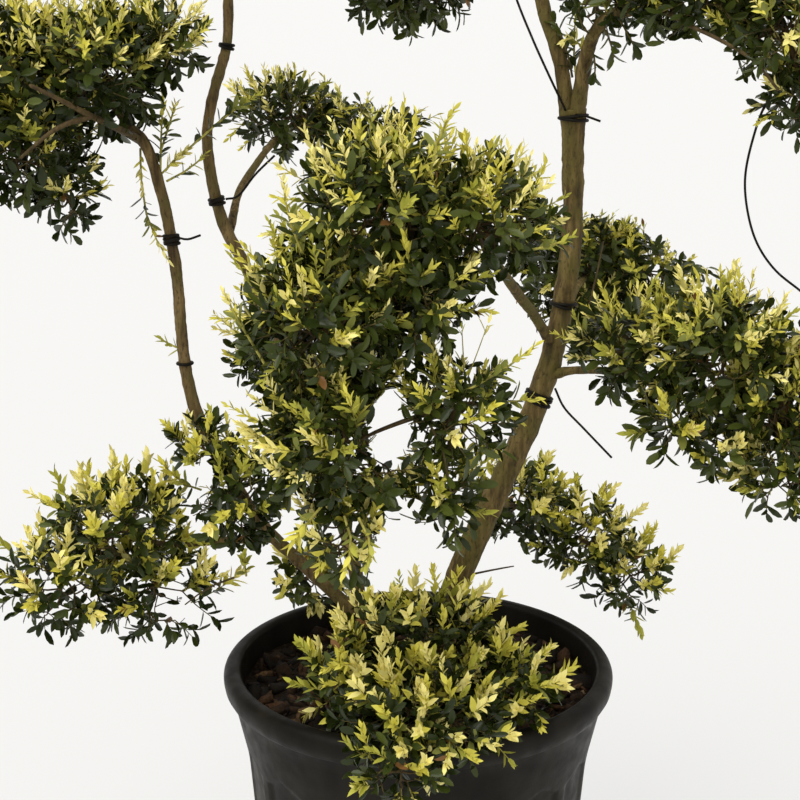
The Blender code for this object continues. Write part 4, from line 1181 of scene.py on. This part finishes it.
# (kind, points: the shoot's foot, middle and tip, and again a middle and tip for a long one)
SIDE_SHOOTS = [
    ("old", [(0.157, 0.000, 1.019), (0.150, -0.004, 1.045), (0.138, -0.006, 1.073)]),
    ("young", [(0.161, 0.000, 1.016), (0.158, 0.000, 1.050), (0.160, 0.000, 1.086)]),
    ("young", [(0.172, -0.010, 1.033), (0.158, -0.012, 1.055), (0.145, -0.020, 1.053)]),
    ("old", [(0.173, -0.030, 1.046), (0.176, -0.033, 1.034), (0.176, -0.036, 1.020)]),
    ("old", [(0.170, -0.040, 1.060), (0.160, -0.046, 1.072), (0.156, -0.050, 1.088)]),
    ("old", [(0.180, -0.046, 1.072), (0.188, -0.052, 1.056), (0.192, -0.056, 1.038)]),
    ("old", [(0.192, -0.060, 1.082), (0.203, -0.066, 1.064), (0.210, -0.070, 1.050)]),
    ("young", [(0.186, -0.056, 1.080), (0.178, -0.062, 1.096), (0.176, -0.066, 1.112)]),
    ("young", [(-0.272, 0.000, 0.916), (-0.257, -0.002, 0.930), (-0.242, -0.005, 0.943),
               (-0.196, -0.010, 0.981), (-0.166, -0.010, 1.000)]),
    ("young", [(-0.265, 0.000, 0.922), (-0.254, 0.000, 0.934), (-0.243, 0.000, 0.939)]),
    ("young", [(-0.263, 0.000, 0.911), (-0.240, 0.000, 0.924), (-0.223, 0.000, 0.939)]),
    ("young", [(-0.271, 0.000, 0.922), (-0.268, -0.005, 0.959), (-0.264, -0.010, 0.997)]),
    ("young", [(-0.269, -0.003, 0.943), (-0.257, -0.010, 0.974), (-0.251, -0.012, 0.991)]),
    ("young", [(-0.291, 0.000, 0.943), (-0.291, -0.002, 0.922), (-0.290, -0.004, 0.901),
               (-0.283, -0.006, 0.865), (-0.264, -0.006, 0.826)]),
    ("young", [(-0.251, 0.000, 0.729), (-0.265, -0.004, 0.735), (-0.277, -0.005, 0.743)]),
    ("bare", [(0.176, -0.010, 0.762), (0.185, -0.012, 0.802), (0.194, -0.012, 0.852)]),
    ("bare", [(0.065, 0.010, 0.470), (0.088, 0.015, 0.473), (0.109, 0.020, 0.475)]),
    ("young", [(0.014, -0.330, 0.757), (0.057, -0.340, 0.781), (0.096, -0.340, 0.810)]),
    ("old", [(0.002, -0.320, 0.740), (0.011, -0.326, 0.726), (0.018, -0.330, 0.709),
             (0.026, -0.330, 0.663), (0.029, -0.330, 0.625)]),
    ("young", [(-0.231, -0.020, 0.623), (-0.251, -0.030, 0.637), (-0.270, -0.035, 0.656)]),
    ("young", [(-0.238, -0.020, 0.578), (-0.256, -0.030, 0.590), (-0.275, -0.035, 0.612)]),
    ("young", [(-0.196, -0.090, 0.567), (-0.200, -0.110, 0.577), (-0.202, -0.130, 0.587)]),
    ("young", [(-0.184, -0.080, 0.502), (-0.184, -0.090, 0.516), (-0.184, -0.100, 0.531)]),
    ("bare", [(-0.201, -0.060, 0.491), (-0.227, -0.065, 0.481), (-0.253, -0.070, 0.463)]),
    ("young", [(-0.140, -0.330, 0.795), (-0.158, -0.345, 0.833), (-0.169, -0.350, 0.858)]),
    ("young", [(-0.105, -0.330, 0.891), (-0.114, -0.345, 0.923), (-0.117, -0.350, 0.952)]),
    ("young", [(-0.079, -0.330, 0.933), (-0.089, -0.345, 0.956), (-0.093, -0.350, 0.975)]),
    ("young", [(0.005, -0.330, 0.958), (0.013, -0.340, 0.988), (0.025, -0.345, 1.011)]),
    ("young", [(0.093, -0.300, 0.886), (0.112, -0.310, 0.892), (0.128, -0.310, 0.900)]),
    ("young", [(-0.068, -0.355, 0.659), (-0.063, -0.368, 0.638), (-0.070, -0.372, 0.611)]),
    ("young", [(-0.090, -0.355, 0.668), (-0.102, -0.368, 0.657), (-0.114, -0.372, 0.642)]),
    ("young", [(-0.055, -0.360, 0.659), (-0.046, -0.370, 0.639), (-0.050, -0.370, 0.620)]),
]

SIDE_SHOOT_RADIUS = 0.0013
SIDE_SHOOT_KINDS = ("bare", "old", "young")

feet, middles, tips, kinds = [], [], [], []
for shoot_kind, points in SIDE_SHOOTS:
    for step in range(0, len(points) - 1, 2):
        for places, point in zip((feet, middles, tips), points[step:step + 3]):
            places.append(point)
        kinds.append(SIDE_SHOOT_KINDS.index(shoot_kind))
feet, middles, tips, kinds = (np.array(values) for values in (feet, middles, tips, kinds))
lengths = np.linalg.norm(middles - feet, axis=1) + np.linalg.norm(tips - middles, axis=1)
ends = (tips - feet) / lengths[:, None]
halves = 2 * (middles - feet) / lengths[:, None]
bows = 2 * (ends - halves)
ways = 2 * halves - ends
leafy = kinds > 0
dice = np.random.default_rng(50)
*leaf_lie, kind = grow_leaves(
    feet[leafy], ways[leafy], bows[leafy], lengths[leafy], kinds[leafy] == 2, OLD_SHARES, dice
)
corners = leaf_corners(*leaf_lie)
side_leaves = join_copies("leaves_side_shoots", corners, LEAF_FACES, kind, leaf_materials)
side_paths, side_radii = shoot_wood(feet, ways, bows, lengths, SIDE_SHOOT_RADIUS)
side_rings = rings(side_paths, side_radii, 5)
side_twigs = join_copies("twigs_side_shoots", side_rings, ring_faces(4, 5), kinds, wood_materials)
for piece, slot in ((side_leaves, "foliage"), (side_twigs, "bark")):
    piece.data.shade_smooth()
    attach(piece, "root")


# ------------------------------------------------------------------ ties
# Black plastic strap is wound tight round the stems in a few closed turns, and stiff coated
# wire is hooked on from it: set in its bends, it holds a bough or a pad where it was trained.

# limb, a point near the middle of the band, turns of strap
TIE_BANDS = [
    ("trunk", (0.159, 0, 0.779), 2), ("trunk", (0.140, 0, 0.671), 4), ("trunk", (0.158, 0, 0.976), 2),
    ("stem_left", (-0.249, 0, 0.715), 1), ("stem_left", (-0.257, 0, 0.850), 4),
    ("stem_middle", (-0.208, 0.050, 1.048), 2), ("stem_middle", (-0.213, 0.050, 0.885), 3),
    ("bough_top_back", (0.085, 0.075, 1.176), 1),
]
TIE_WIRES = [
    [(0.146, -0.013, 0.690), (0.156, -0.020, 0.670), (0.176, -0.030, 0.650), (0.206, -0.040, 0.620)],
    [(0.150, -0.012, 0.984), (0.142, -0.012, 1.000), (0.132, -0.010, 1.020), (0.116, 0.010, 1.056),
     (0.099, 0.035, 1.100), (0.087, 0.066, 1.150), (0.084, 0.072, 1.172)],
    [(0.160, -0.013, 0.980), (0.170, -0.018, 0.979), (0.185, -0.022, 0.974)],
    [(-0.254, -0.008, 0.852), (-0.243, -0.013, 0.851), (-0.229, -0.018, 0.856)],
    [(-0.208, 0.043, 0.886), (-0.194, 0.041, 0.890), (-0.176, 0.045, 0.912), (-0.155, 0.050, 0.932)],
    [(0.343, -0.140, 1.012), (0.328, -0.132, 0.998), (0.319, -0.122, 0.960), (0.316, -0.116, 0.925),
     (0.321, -0.116, 0.891), (0.331, -0.121, 0.862), (0.348, -0.130, 0.838), (0.373, -0.140, 0.818),
     (0.396, -0.148, 0.797)],
]

WIRE_RADIUS = 0.00125
STRAP_RADIUS = 0.0017
STRAP_PITCH = 0.0028
STRAP_CLEAR = 0.0012

tie_parts = []
for points in TIE_WIRES:
    path = smooth_path(points, 0.004)
    tie_parts.append(make_tube("wire", path, [WIRE_RADIUS] * len(path), 2))
for limb_name, middle, turns in TIE_BANDS:
    path = smooth_path(LIMBS[limb_name][1], 0.003)
    step = min(range(1, len(path) - 1), key=lambda step: (path[step] - Vector(middle)).length)
    heading = (path[step + 1] - path[step - 1]).normalized()
    girth = limb_radii(limb_name, path)[step] * 1.05 + STRAP_CLEAR
    for turn in range(turns):
        aslant = Vector((math.cos(2.4 * turn), math.sin(2.4 * turn), 0)) * 0.10
        bpy.ops.mesh.primitive_torus_add(
            location=path[step] + heading * STRAP_PITCH * (turn - (turns - 1) / 2),
            rotation=(heading + aslant).to_track_quat("Z", "Y").to_euler(),
            major_segments=40, minor_segments=8, major_radius=girth, minor_radius=STRAP_RADIUS,
        )
        tie_parts.append(bpy.context.object)
ties = join_pieces(tie_parts, "plant_ties")
ties.data.materials.clear()
ties.data.materials.append(plastic.material)
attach(ties, "root")


# ------------------------------------------------------------------ studio
# A pale seamless floor, soft light from all round and one broad light above, as for a catalogue.

CAMERA_SPOT = Vector((-0.0204, -1.680, 1.108))
CAMERA_PITCH = math.radians(14.5)
FOCAL_PIXELS, FRAME_PIXELS = 1600, 800
SENSOR_MM = 36
FLOOR_SIZE = 800  # so wide that its edge lies close under the horizon
FLOOR_GAP = 0.0005  # under the pot's foot

bpy.ops.mesh.primitive_plane_add(size=FLOOR_SIZE, location=(0, 0, -FLOOR_GAP))
floor = bpy.context.object
floor.name = "studio_floor"
paper = Finish("pale paper", 0.9, 0.1)
paper.shader["Base Color"].default_value = (0.200, 0.1985, 0.195, 1)
paper.shader["Emission Color"].default_value = (1.0, 0.994, 0.980, 1)
paper.shader["Emission Strength"].default_value = 0.668
floor.data.materials.append(paper.material)
floor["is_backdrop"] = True

world = bpy.data.worlds.new("soft sky")
world.use_nodes = True
world.node_tree.nodes["Background"].inputs["Color"].default_value = (1.0, 0.995, 0.985, 1)
world.node_tree.nodes["Background"].inputs["Strength"].default_value = 0.80
bpy.context.scene.world = world
bpy.context.scene.view_settings.view_transform = "Standard"

bpy.ops.object.light_add(type="SUN", rotation=(math.radians(24), math.radians(-22), 0))
sun = bpy.context.object
sun.name = "broad soft light"
sun.data.angle = math.radians(50)
sun.data.energy = 1.83
sun.data.color = (1.0, 0.985, 0.95)

bpy.ops.object.camera_add(location=CAMERA_SPOT, rotation=(math.pi / 2 - CAMERA_PITCH, 0, 0))
camera = bpy.context.object
camera.data.sensor_width = SENSOR_MM
camera.data.lens = SENSOR_MM * FOCAL_PIXELS / FRAME_PIXELS
camera.data.clip_start = 0.05
bpy.context.scene.camera = camera

boxes = {"cad": cad_box, "visual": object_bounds()}
{key: [list(corner) for corner in box] for key, box in boxes.items()}
